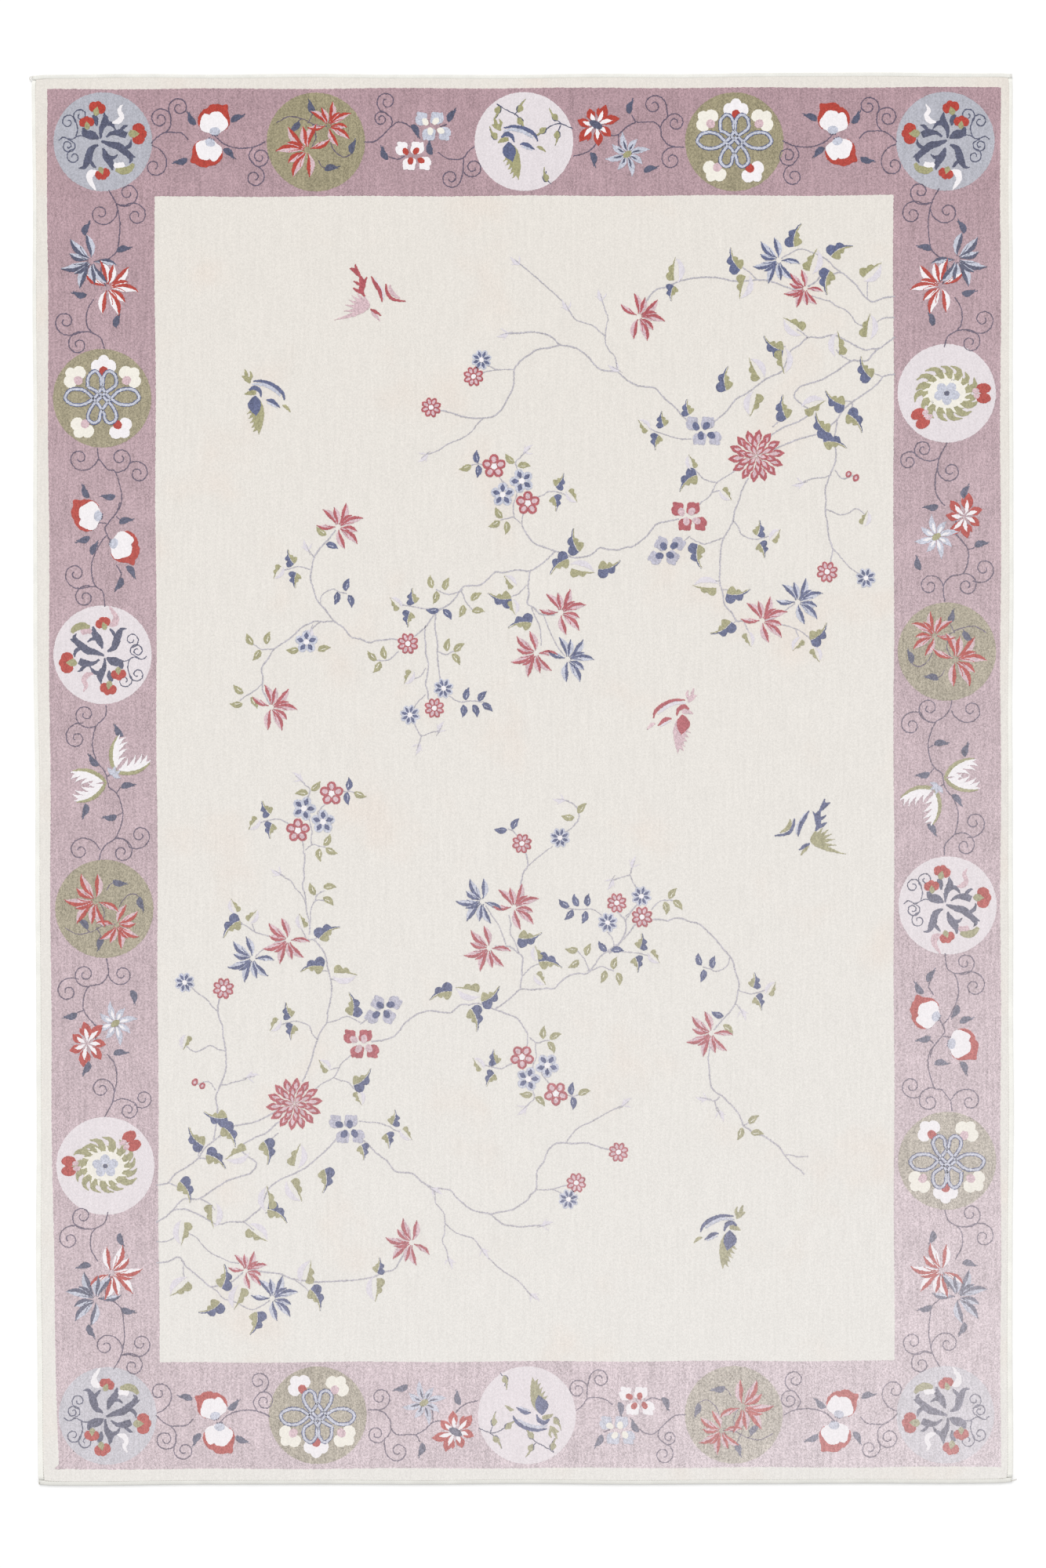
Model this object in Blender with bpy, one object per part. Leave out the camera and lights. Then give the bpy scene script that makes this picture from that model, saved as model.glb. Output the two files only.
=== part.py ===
"""A low-pile rug, 1.595 m by 2.300 m, lying flat on its underside.

One woven panel carries the short pile. Its rim is a thinner tongue, bare of pile, and four strips of
edge tape are folded over that tongue and stitched. X runs across the rug, Y along it, and Z is up.
The origin is the middle of the underside, and the underside is flat at Z = 0.
"""

import math
from collections import namedtuple

import bmesh
import bpy

# The rug over its bindings
RUG_WIDTH = 1.595
RUG_LENGTH = 2.300
PILE_TOP = 0.0070

# The edge tape, folded over the rim like a letter C lying on its back
TAPE_TOP = 0.0064
TAPE_WALL = 0.0016
TAPE_CHAMFER = 0.0012
END_TAPE_WIDTH = 0.0078
SIDE_TAPE_FAR_WIDTH = 0.0070
SIDE_TAPE_NEAR_WIDTH = 0.0100

# Clearance left between pieces that touch
GAP = 0.0003

# The grid of the pile's surface, and how uneven that surface is
CELLS_ACROSS = 20
CELLS_ALONG = 30
PILE_UNEVEN = 0.0005
SWELLS_ACROSS = 3
SWELLS_ALONG = 4

# Corners are sewn round: the outline draws in there over a short length
CORNER_DRAW_IN = 0.0014
CORNER_STEPS = (0.004, 0.012, 0.030)

# How far each edge strays outwards from a straight line: half waves along the edge, and their swing
Wave = namedtuple("Wave", "half_waves swing")
EDGE_WAVES = {
    "far": (Wave(3, 0.0009), Wave(8, 0.0006), Wave(13, -0.0004)),
    "near": (Wave(2, -0.0007), Wave(7, 0.0005), Wave(11, 0.0003)),
    "left": (Wave(4, 0.0008), Wave(9, -0.0005), Wave(15, 0.0003)),
    "right": (Wave(5, -0.0008), Wave(10, 0.0004), Wave(17, 0.0003)),
}

# Finishes: linear colour and roughness
PILE_COLOUR = (0.62, 0.56, 0.52, 1.0)
PILE_ROUGHNESS = 0.95
TAPE_COLOUR = (0.88, 0.88, 0.84, 1.0)
TAPE_ROUGHNESS = 0.80


def clear_scene():
    """Removes the objects that are in the scene."""
    for thing in list(bpy.data.objects):
        bpy.data.objects.remove(thing, do_unlink=True)


def finish(name, colour, roughness):
    """A plain cloth finish."""
    material = bpy.data.materials.new(name)
    material.use_nodes = True
    shader = material.node_tree.nodes["Principled BSDF"]
    shader.inputs["Base Color"].default_value = colour
    shader.inputs["Roughness"].default_value = roughness
    shader.inputs["Metallic"].default_value = 0.0
    return material


def stations(length, cells):
    """Shares of an edge's length, from 0 to 1: even cells, with closer ones at both corners."""
    near_start = [step / length for step in CORNER_STEPS]
    near_end = [1.0 - share for share in reversed(near_start)]
    even = [cell / cells for cell in range(1, cells)]
    return [0.0, *near_start, *even, *near_end, 1.0]


def stray(side, share, length):
    """How far an edge lies outside the straight line between its corners, at a share of its length."""
    swing = sum(wave.swing * math.sin(math.pi * wave.half_waves * share) for wave in EDGE_WAVES[side])
    to_corner = min(share, 1.0 - share) * length
    reach = CORNER_STEPS[1]
    return swing - CORNER_DRAW_IN * math.exp(-((to_corner / reach) ** 2))


def side_tape_width(share_from_near):
    """The side tapes widen from the far end to the near end."""
    return SIDE_TAPE_NEAR_WIDTH + (SIDE_TAPE_FAR_WIDTH - SIDE_TAPE_NEAR_WIDTH) * share_from_near


def place(across, along, end_inset, side_inset):
    """A point of the plan at shares across and along the rug, with the outline drawn in by both insets."""
    right = RUG_WIDTH / 2 + stray("right", along, RUG_LENGTH) - side_inset
    left = -RUG_WIDTH / 2 - stray("left", along, RUG_LENGTH) + side_inset
    far = RUG_LENGTH / 2 + stray("far", across, RUG_WIDTH) - end_inset
    near = -RUG_LENGTH / 2 - stray("near", across, RUG_WIDTH) + end_inset
    return left + (right - left) * across, near + (far - near) * along


def pile_height(across, along):
    """The pile's top, a little uneven in the middle and level at the edges."""
    swell = math.sin(math.pi * SWELLS_ACROSS * across) * math.sin(math.pi * SWELLS_ALONG * along)
    return PILE_TOP + PILE_UNEVEN * swell


def perimeter(across, along):
    """Grid indices round the plan, once, counterclockwise from the near left corner."""
    last_i = len(across) - 1
    last_j = len(along) - 1
    near = [(i, 0) for i in range(last_i)]
    right = [(last_i, j) for j in range(last_j)]
    far = [(i, last_j) for i in range(last_i, 0, -1)]
    left = [(0, j) for j in range(last_j, 0, -1)]
    return near + right + far + left


def join_rings(mesh, upper, lower):
    """A belt of faces between two closed rings of vertices, facing outwards."""
    count = len(upper)
    for k in range(count):
        following = (k + 1) % count
        mesh.faces.new((upper[k], lower[k], lower[following], upper[following]))


def join_grid(mesh, grid, upwards):
    """The cells of a grid of vertices, facing up or down."""
    for i in range(len(grid) - 1):
        for j in range(len(grid[0]) - 1):
            corners = [grid[i][j], grid[i + 1][j], grid[i + 1][j + 1], grid[i][j + 1]]
            mesh.faces.new(corners if upwards else corners[::-1])


def add_object(name, mesh, material):
    """Turns a finished bmesh into a named object with its finish."""
    bmesh.ops.recalc_face_normals(mesh, faces=mesh.faces[:])
    data = bpy.data.meshes.new(name)
    mesh.to_mesh(data)
    mesh.free()
    data.materials.append(material)
    thing = bpy.data.objects.new(name, data)
    bpy.context.scene.collection.objects.link(thing)
    return thing


def build_panel(material):
    """The woven panel: full thickness where the pile stands, with a thin tongue all round."""
    across = stations(RUG_WIDTH, CELLS_ACROSS)
    along = stations(RUG_LENGTH, CELLS_ALONG)
    tongue_low = TAPE_WALL + GAP
    tongue_high = TAPE_TOP - TAPE_WALL - GAP
    tongue_inset = TAPE_WALL + GAP
    mesh = bmesh.new()

    def body_point(i, j, height):
        inset = side_tape_width(along[j]) + GAP
        x, y = place(across[i], along[j], END_TAPE_WIDTH + GAP, inset)
        return mesh.verts.new((x, y, height))

    def tongue_point(i, j, height):
        x, y = place(across[i], along[j], tongue_inset, tongue_inset)
        return mesh.verts.new((x, y, height))

    rows = range(len(across))
    columns = range(len(along))
    top = [[body_point(i, j, pile_height(across[i], along[j])) for j in columns] for i in rows]
    bottom = [[body_point(i, j, 0.0) for j in columns] for i in rows]
    join_grid(mesh, top, upwards=True)
    join_grid(mesh, bottom, upwards=False)

    rim = perimeter(across, along)
    rings = [
        [top[i][j] for i, j in rim],
        [body_point(i, j, tongue_high) for i, j in rim],
        [tongue_point(i, j, tongue_high) for i, j in rim],
        [tongue_point(i, j, tongue_low) for i, j in rim],
        [body_point(i, j, tongue_low) for i, j in rim],
        [bottom[i][j] for i, j in rim],
    ]
    for upper, lower in zip(rings, rings[1:]):
        join_rings(mesh, upper, lower)
    return add_object("rug_panel", mesh, material)


def tape_section(width):
    """The folded tape's section as (inset from the outline, height), round its outer and inner skins."""
    outer_skin = [
        (width, 0.0),
        (TAPE_CHAMFER, 0.0),
        (0.0, TAPE_CHAMFER),
        (0.0, TAPE_TOP - TAPE_CHAMFER),
        (TAPE_CHAMFER, TAPE_TOP),
        (width, TAPE_TOP),
    ]
    inner_skin = [
        (width, TAPE_TOP - TAPE_WALL),
        (TAPE_WALL, TAPE_TOP - TAPE_WALL),
        (TAPE_WALL, TAPE_WALL),
        (width, TAPE_WALL),
    ]
    return outer_skin + inner_skin


def sweep(name, sections, material):
    """One closed strip through a row of like sections, capped at both ends."""
    mesh = bmesh.new()
    rings = [[mesh.verts.new(point) for point in section] for section in sections]
    for upper, lower in zip(rings, rings[1:]):
        join_rings(mesh, upper, lower)
    mesh.faces.new(rings[0])
    mesh.faces.new(rings[-1][::-1])
    return add_object(name, mesh, material)


def build_end_tape(name, along, material):
    """The tape on the far or near edge. It runs the full width and covers the ends of the side tapes."""

    def section(across):
        rows = tape_section(END_TAPE_WIDTH)
        return [(*place(across, along, inset, 0.0), height) for inset, height in rows]

    return sweep(name, [section(share) for share in stations(RUG_WIDTH, CELLS_ACROSS)], material)


def build_side_tape(name, across, material):
    """The tape on the left or right edge, between the end tapes."""
    covered = (END_TAPE_WIDTH + GAP) / RUG_LENGTH
    shares = stations(RUG_LENGTH, CELLS_ALONG)
    free = [share for share in shares if covered < share < 1.0 - covered]

    def section(along):
        rows = tape_section(side_tape_width(along))
        return [(*place(across, along, 0.0, inset), height) for inset, height in rows]

    return sweep(name, [section(share) for share in (covered, *free, 1.0 - covered)], material)


def main():
    clear_scene()
    pile = finish("cut_pile", PILE_COLOUR, PILE_ROUGHNESS)
    build_panel(pile)
    for name, along in (("binding_near", 0.0), ("binding_far", 1.0)):
        build_end_tape(name, along, finish(name + "_tape", TAPE_COLOUR, TAPE_ROUGHNESS))
    for name, across in (("binding_left", 0.0), ("binding_right", 1.0)):
        build_side_tape(name, across, finish(name + "_tape", TAPE_COLOUR, TAPE_ROUGHNESS))


main()
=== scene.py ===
import math
import random
from collections import namedtuple

import bpy
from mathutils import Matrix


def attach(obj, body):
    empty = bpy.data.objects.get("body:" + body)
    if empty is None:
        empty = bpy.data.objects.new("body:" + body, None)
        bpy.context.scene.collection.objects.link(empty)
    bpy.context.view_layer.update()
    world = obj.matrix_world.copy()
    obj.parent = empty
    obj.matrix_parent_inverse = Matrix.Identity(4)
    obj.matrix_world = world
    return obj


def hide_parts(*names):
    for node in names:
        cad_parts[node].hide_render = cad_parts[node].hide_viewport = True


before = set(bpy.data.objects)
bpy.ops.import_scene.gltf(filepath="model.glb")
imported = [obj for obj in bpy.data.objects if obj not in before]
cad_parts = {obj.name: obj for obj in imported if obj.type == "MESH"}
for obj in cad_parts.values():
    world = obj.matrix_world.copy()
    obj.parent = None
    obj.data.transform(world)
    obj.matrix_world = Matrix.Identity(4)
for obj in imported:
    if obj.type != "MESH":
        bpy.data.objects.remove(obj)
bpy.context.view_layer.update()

bl_info = {
    "name": "Low-Pile Rug",
    "version": (1, 0, 0),
    "blender": (4, 5, 0),
    "location": "View3D > Sidebar > Rug",
    "description": "Dresses a flat low-pile rug with its border, roundels, sprays and stitched edge tape",
    "category": "Object",
}

MM = 0.001

# The rug's own sizes, in metres
RUG_WIDTH = 1.595
RUG_LENGTH = 2.300
PILE_TOP = 0.0070
PILE_UNEVEN = 0.0005
SWELLS_ACROSS = 3
SWELLS_ALONG = 4
TAPE_TOP = 0.0064
END_TAPE_WIDTH = 0.0078
SIDE_TAPE_FAR_WIDTH = 0.0070
SIDE_TAPE_NEAR_WIDTH = 0.0100
GAP = 0.0003
PILE_LEAN = 0.0005
RIM_DROP = 0.0004
CORNER_DRAW_IN = 0.0014
CORNER_REACH = 0.012
GROUND_CELLS = (96, 138)

# How far each edge strays outwards from a straight line: half waves along the edge, and their swing
Wave = namedtuple("Wave", "half_waves swing")
EDGE_WAVES = {
    "far": (Wave(3, 0.0009), Wave(8, 0.0006), Wave(13, -0.0004)),
    "near": (Wave(2, -0.0007), Wave(7, 0.0005), Wave(11, 0.0003)),
    "left": (Wave(4, 0.0008), Wave(9, -0.0005), Wave(15, 0.0003)),
    "right": (Wave(5, -0.0008), Wave(10, 0.0004), Wave(17, 0.0003)),
}

# The pattern, in millimetres from its own middle
PATTERN_X = 2.5
PATTERN_Y = 1.5
BORDER_HALF = (774.5, 1124.5)
FIELD_HALF = (600.5, 950.0)
BORDER_WAVER = 0.7
WAVER_ALONG = 61.0
WAVER_ACROSS = 47.0
BORDER_RAGGED = 1.2
BORDER_RINGS = 6
TAPER_START = -350.0
TAPER_DEPTH = 775.0
TAPER_SHIFT = 9.0
TAPER_NARROWING = 14
ROUNDEL_RADIUS = 80.0
ROUNDEL_RINGS = 5

# One chart step of a motif, the spacing of the tufts, and of the points along a drawn outline
CHART = 1.28
TUFT = 2.3
STEP = 1.8

# The spacing of the points inside a tight bend, the least widths of a ribbon, a line of tufts and one side
# of a blade, how far a tuft strays from a drawn outline, and how far a row of tufts slips with it
SHORTEST_STEP = 0.12
NARROWEST = 0.3
THIN = 1.1
THINNEST_BLADE = 0.45
RAGGED = 0.50
SLIP = 0.7

# Inlaid pile, in metres: its depth, how far its lowest level rises, and the rise to the next level. The
# stagger keeps patches that overlap on one level apart
INLAY_DEPTH = 0.0009
INLAY_LOWEST = 0.00012
INLAY_STEP = 0.00010
STAGGER = 0.000011
STAGGERS = 9
BORDER_LEVEL = 0
ROUNDEL_LEVEL = 1
VINE_LEVEL = 2
LEAF_LEVEL = 3
FLOWER_LEVEL = 4

# Edge tape: the cells of its strips, its thickness, the radius of its fold, how far its skin lies under
# the solid's top, how far it puffs up, and how its sewn edge dips
SIDES = ("far", "near", "left", "right")
ENDS = ("far", "near")
END_TAPE_CELLS = 260
SIDE_TAPE_CELLS = 380
ROUND_TAPE_CELLS = 22
TAPE_THICKNESS = 0.0012
TAPE_FOLD = 0.0024
TAPE_SUNK = 0.0003
TAPE_PUFF = 0.00035
SEWN_DIP = 0.0005
SEWN_REACH = 0.0009
PUCKER = 0.00018
PUCKERED_FROM = 0.02
PUCKERED_TO = 0.40

# Edge stitches, in metres, their lean in radians, and how many pitches stay bare at each corner
STITCH_PITCH = 0.0041
STITCH_LENGTH = 0.0027
STITCH_WIDTH = 0.0008
STITCH_HEIGHT = 0.0007
STITCH_SUNK = 0.00035
STITCH_INSET = 0.0009
STITCH_SLIDE = 0.0003
STITCH_LEAN = 0.14
BARE_PITCHES = 3

# The side of the square that each piece's own map covers, in metres
MAP_SPAN = 2.4


def linear(code):
    """A colour written as sRGB hex, as linear red, green and blue."""
    parts = [int(code[k:k + 2], 16) / 255 for k in (1, 3, 5)]
    return [c / 12.92 if c <= 0.04045 else ((c + 0.055) / 1.055) ** 2.4 for c in parts]


def length_prop(name, description, default):
    return bpy.props.FloatProperty(
        name=name, description=description, default=default, min=0.0, unit="LENGTH", precision=4
    )


def colour_prop(name, description, code):
    return bpy.props.FloatVectorProperty(
        name=name, description=description, default=linear(code), min=0.0, max=1.0, subtype="COLOR", size=3
    )


class RugSizes(bpy.types.PropertyGroup):
    pile_top: length_prop("Pile height", "Height of the pile over the floor", PILE_TOP)
    pile_uneven: length_prop("Pile unevenness", "How far the pile rises and dips", PILE_UNEVEN)
    tuft: length_prop("Tuft spacing", "Distance from one tuft to the next", TUFT * MM)
    stitch_pitch: length_prop("Stitch pitch", "Distance from one edge stitch to the next", STITCH_PITCH)
    tape_width: length_prop("End tape width", "Width of the tape along both ends", END_TAPE_WIDTH)


class RugColours(bpy.types.PropertyGroup):
    ivory: colour_prop("Ivory", "Field and outer guard", "#dcd7d0")
    mauve: colour_prop("Mauve", "Wide border", "#aa8e95")
    sage: colour_prop("Sage", "Green roundels", "#968e73")
    mist: colour_prop("Mist blue", "Corner roundels", "#acadb6")
    chalk: colour_prop("Chalk", "Lilac-white roundels", "#d9d2d5")
    slate: colour_prop("Slate", "Leaves of the border", "#55586d")
    navy: colour_prop("Navy", "Leaves and flowers of the field", "#5b6282")
    brick: colour_prop("Brick", "Red flowers of the border", "#ad4238")
    rose: colour_prop("Rose red", "Red flowers of the field", "#a84f56")
    pink: colour_prop("Pink", "Light sides of the petals", "#cbb0b6")
    olive: colour_prop("Olive", "Green leaves", "#9c9973")
    cream: colour_prop("Cream", "Cream blossoms", "#e6e2d8")
    white: colour_prop("White", "White blossoms", "#e8e4e6")
    sky: colour_prop("Pale blue", "Pale blue blossoms and the knot", "#bbbecb")
    lilac: colour_prop("Lilac", "Shadow side of leaves, bud tips", "#d4cfd6")
    dusk: colour_prop("Dusk lilac", "Grey petals of the field", "#b0afbd")
    twig: colour_prop("Twig grey", "Branches of the field", "#b0adb4")
    vine: colour_prop("Vine", "Thin vines of the border", "#62586a")
    tape: colour_prop("Edge tape", "Woven tape round the rug", "#e6e5df")
    thread: colour_prop("Thread", "Stitches of the edge tape", "#cbc7be")
    floor: colour_prop("Floor", "Plain floor", "#f6f6f6")


# The plan of the rug
def stray(side, share, length):
    """How far an edge lies outside the straight line between its corners, at a share of its length."""
    swing = sum(wave.swing * math.sin(math.pi * wave.half_waves * share) for wave in EDGE_WAVES[side])
    to_corner = min(share, 1.0 - share) * length
    return swing - CORNER_DRAW_IN * math.exp(-((to_corner / CORNER_REACH) ** 2))


def side_tape_width(share_from_near):
    """The side tapes widen from the far end to the near end."""
    return SIDE_TAPE_NEAR_WIDTH + (SIDE_TAPE_FAR_WIDTH - SIDE_TAPE_NEAR_WIDTH) * share_from_near


def place(across, along, end_inset, side_inset):
    """A point of the plan at shares across and along the rug, with the outline drawn in by both insets."""
    right = RUG_WIDTH / 2 + stray("right", along, RUG_LENGTH) - side_inset
    left = -RUG_WIDTH / 2 - stray("left", along, RUG_LENGTH) + side_inset
    far = RUG_LENGTH / 2 + stray("far", across, RUG_WIDTH) - end_inset
    near = -RUG_LENGTH / 2 - stray("near", across, RUG_WIDTH) + end_inset
    return left + (right - left) * across, near + (far - near) * along


def beside(side, share, inset):
    """A point of the plan at a share of one side's length, drawn in from that side by an inset."""
    if side in ENDS:
        return place(share, 1.0 if side == "far" else 0.0, inset, 0.0)
    return place(0.0 if side == "left" else 1.0, share, 0.0, inset)


def pile_height(across, along):
    """The pile's top, a little uneven in the middle and level at the edges."""
    swell = math.sin(math.pi * SWELLS_ACROSS * across) * math.sin(math.pi * SWELLS_ALONG * along)
    sizes = bpy.context.scene.rug_sizes
    return sizes.pile_top + sizes.pile_uneven * swell


def on_pile(x, y, level):
    """A point of the pattern, in mm from its middle, on the pile in metres, raised by a little."""
    px = (x + PATTERN_X) * MM
    py = (y + PATTERN_Y) * MM
    height = pile_height(px / RUG_WIDTH + 0.5, py / RUG_LENGTH + 0.5)
    return px, py, height + INLAY_LOWEST + level


# Materials
# Painted sheen: the pale colours that the pile is mixed with towards the near end, for coloured yarns and
# for the ivory
SHEEN_PALE = "#e1d9dc"
SHEEN_PALE_IVORY = "#dfdcd8"
BLUSH = "#dfcabb"
BLUSH_SHARE = 0.22

# Where the painted sheen towards the near end and the right side starts and stops, in metres from the
# middle;
# the sewing thread darkens over the same span towards the near end
FADE_END = 1.13
FADE_SIDE = 0.78

# How strongly each yarn's tufts differ, how strongly its nap patches of painted sheen show, how far a
# painted sheen pales it towards the near end, and how much more at the right side of that end
DyeAndSheen = namedtuple("DyeAndSheen", "speckle nap fade side_fade")
PLAIN_DYE_AND_SHEEN = DyeAndSheen(0.32, 0.14, 0.16, 0.16)
DYES_AND_SHEENS = {
    "ivory": DyeAndSheen(0.100, 0.034, 0.80, 0.15),
    "mauve": DyeAndSheen(0.36, 0.26, 0.50, 0.22),
    "sage": DyeAndSheen(0.44, 0.22, 0.26, 0.30),
    "mist": DyeAndSheen(0.24, 0.14, 0.42, 0.25),
    "chalk": DyeAndSheen(0.12, 0.06, 0.50, 0.10),
    "slate": DyeAndSheen(0.42, 0.18, 0.16, 0.20),
    "navy": DyeAndSheen(0.46, 0.18, 0.12, 0.12),
    "vine": DyeAndSheen(0.40, 0.10, 0.16, 0.20),
    "cream": DyeAndSheen(0.09, 0.04, 0.10, 0.10),
    "white": DyeAndSheen(0.09, 0.04, 0.10, 0.10),
    "lilac": DyeAndSheen(0.14, 0.06, 0.16, 0.16),
}

# Painted shade: the tapes along the ends are drawn a little darker than those along the sides, the near end
# most
TAPE_PAINTED_SHADES = {"far": 0.92, "near": 0.87, "left": 1.0, "right": 1.0}


def add_node(tree, kind, inputs=None, **settings):
    """Adds a node with its settings. An input gets a value, or the node or socket it is linked from."""
    node = tree.nodes.new(kind)
    for name, value in settings.items():
        setattr(node, name, value)
    for key, source in (inputs or {}).items():
        if isinstance(source, bpy.types.Node):
            source = source.outputs[0]
        if isinstance(source, bpy.types.NodeSocket):
            tree.links.new(source, node.inputs[key])
        else:
            node.inputs[key].default_value = source
    return node


def new_material(name):
    """An empty material, its node tree, and the socket that gives a piece's own coordinates."""
    material = bpy.data.materials.new(name)
    material.use_nodes = True
    tree = material.node_tree
    tree.nodes.clear()
    return material, tree, add_node(tree, "ShaderNodeTexCoord").outputs["Object"]


def pile_material(name, colour, dye_and_sheen, blush):
    """Cut pile of coloured yarn: matt, with tufts lighter and darker than their neighbours, faint ribs along
    the warp, soft lighter and darker patches of painted sheen where the nap lies another way, and a painted
    sheen that pales the colour towards the near end and the right side.
    Clumps of tufts are 3 mm across, ribs 5 mm apart and patches about 60 mm wide."""
    material, tree, coords = new_material(name)
    flat = add_node(tree, "ShaderNodeVectorMath", {0: coords, 1: (1.0, 1.0, 0.0)}, operation="MULTIPLY")
    cell_size = (TUFT * MM * 0.7, TUFT * MM * 0.8, 1.0)
    cell = add_node(tree, "ShaderNodeVectorMath", {0: flat, 1: cell_size}, operation="SNAP")
    ribs = add_node(tree, "ShaderNodeVectorMath", {0: flat, 1: (210.0, 14.0, 0.0)}, operation="MULTIPLY")
    tuft = add_node(tree, "ShaderNodeTexWhiteNoise", {"Vector": cell}, noise_dimensions="2D")
    grains = [(tuft, dye_and_sheen.speckle)]
    for share, values in (
        (dye_and_sheen.speckle * 1.5, {"Vector": flat, "Scale": 300.0, "Detail": 2.0, "Roughness": 0.7}),
        (dye_and_sheen.speckle * 0.8, {"Vector": ribs, "Scale": 1.0, "Detail": 1.0}),
        # Soft patches where the nap lies another way, painted lighter and darker as sheen
        (dye_and_sheen.nap, {"Vector": flat, "Scale": 17.0, "Detail": 4.0, "Roughness": 0.6, "Distortion": 0.8}),
    ):
        grains.append((add_node(tree, "ShaderNodeTexNoise", values, noise_dimensions="2D"), share))
    tone = None
    for grain, share in grains:
        settings = {0: grain, 1: share, 2: -0.5 * share}
        centred = add_node(tree, "ShaderNodeMath", settings, operation="MULTIPLY_ADD")
        if tone is None:
            tone = centred
        else:
            tone = add_node(tree, "ShaderNodeMath", {0: tone, 1: centred}, operation="ADD")
    level = add_node(tree, "ShaderNodeMath", {0: tone, 1: 1.0}, operation="ADD")
    axes = add_node(tree, "ShaderNodeSeparateXYZ", {0: coords})
    # Painted sheen: towards the near end, and more so at its right side, the yarn's colour is mixed with a
    # paler one
    far_to_near = add_node(tree, "ShaderNodeMapRange", {
        "Value": axes.outputs["Y"], "From Min": FADE_END, "From Max": -FADE_END,
        "To Min": 0.0, "To Max": 1.0,
    })
    left_to_right = add_node(tree, "ShaderNodeMapRange", {
        "Value": axes.outputs["X"], "From Min": -FADE_SIDE, "From Max": FADE_SIDE,
        "To Min": dye_and_sheen.fade, "To Max": dye_and_sheen.fade + dye_and_sheen.side_fade,
    })
    painted_sheen_share = add_node(tree, "ShaderNodeMath", {0: far_to_near, 1: left_to_right}, operation="MULTIPLY")
    pale = linear(SHEEN_PALE_IVORY if blush else SHEEN_PALE)
    dyed_and_sheened = add_node(
        tree, "ShaderNodeMix", {0: painted_sheen_share, 6: (*colour, 1.0), 7: (*pale, 1.0)}, data_type="RGBA"
    ).outputs[2]
    if blush:
        spots = add_node(
            tree, "ShaderNodeTexNoise", {"Vector": flat, "Scale": 5.5, "Detail": 3.0, "Roughness": 0.55},
            noise_dimensions="2D",
        )
        amount = add_node(
            tree, "ShaderNodeMapRange",
            {"Value": spots, "From Min": 0.54, "From Max": 0.80, "To Min": 0.0, "To Max": blush},
            interpolation_type="SMOOTHSTEP",
        )
        dyed_and_sheened = add_node(
            tree, "ShaderNodeMix", {0: amount, 6: dyed_and_sheened, 7: (*linear(BLUSH), 1.0)}, data_type="RGBA"
        ).outputs[2]
    toned = add_node(tree, "ShaderNodeHueSaturation", {"Fac": 1.0, "Color": dyed_and_sheened, "Value": level})
    bump = add_node(tree, "ShaderNodeBump", {"Height": tone, "Strength": 0.35, "Distance": 0.0006})
    shader = add_node(tree, "ShaderNodeBsdfPrincipled", {
        "Base Color": toned, "Normal": bump, "Roughness": 1.0, "Specular IOR Level": 0.12,
        "Sheen Weight": 0.12, "Sheen Roughness": 0.6,
    })
    add_node(tree, "ShaderNodeOutputMaterial", {"Surface": shader})
    return material


def yarn_material(context, yarn):
    """The material of one yarn, made once."""
    name = "cut_pile_" + yarn
    if name in bpy.data.materials:
        return bpy.data.materials[name]
    dye_and_sheen = DYES_AND_SHEENS.get(yarn, PLAIN_DYE_AND_SHEEN)
    colour = tuple(getattr(context.scene.rug_colours, yarn))
    return pile_material(name, colour, dye_and_sheen, BLUSH_SHARE if yarn == "ivory" else 0.0)


def tape_material(context, name, shade):
    """Cotton edge tape, woven plain and bleached off-white: matt, with the fine grain of its threads, and
    darkened by a painted shade where it runs along the ends.
    The threads, 0.5 mm apart, are too fine to show, so the grain is drawn 1.6 mm wide."""
    material, tree, coords = new_material(name)
    fine = add_node(tree, "ShaderNodeTexNoise", {"Vector": coords, "Scale": 620.0, "Detail": 2.0})
    weave = add_node(tree, "ShaderNodeTexVoronoi", {"Vector": coords, "Scale": 620.0})
    soft = add_node(tree, "ShaderNodeTexNoise", {"Vector": coords, "Scale": 28.0, "Detail": 2.0})
    threads = add_node(tree, "ShaderNodeMath", {0: fine, 1: weave}, operation="MULTIPLY")
    # Soft random blotches of wear, scaled by the painted shade of the tapes along the ends
    wear_and_painted_shade = add_node(
        tree, "ShaderNodeMapRange",
        {"Value": soft, "From Min": 0.3, "From Max": 0.7, "To Min": 0.95 * shade, "To Max": 1.04 * shade},
    )
    grain = add_node(tree, "ShaderNodeMath", {0: threads, 1: 0.22, 2: -0.045}, operation="MULTIPLY_ADD")
    total = add_node(tree, "ShaderNodeMath", {0: wear_and_painted_shade, 1: grain}, operation="ADD")
    colour = (*context.scene.rug_colours.tape, 1.0)
    toned = add_node(tree, "ShaderNodeHueSaturation", {"Fac": 1.0, "Color": colour, "Value": total})
    bump = add_node(tree, "ShaderNodeBump", {"Height": threads, "Strength": 0.5, "Distance": 0.0003})
    shader = add_node(tree, "ShaderNodeBsdfPrincipled", {
        "Base Color": toned, "Normal": bump, "Roughness": 0.85, "Specular IOR Level": 0.2,
        "Sheen Weight": 0.1,
    })
    add_node(tree, "ShaderNodeOutputMaterial", {"Surface": shader})
    return material


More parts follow.
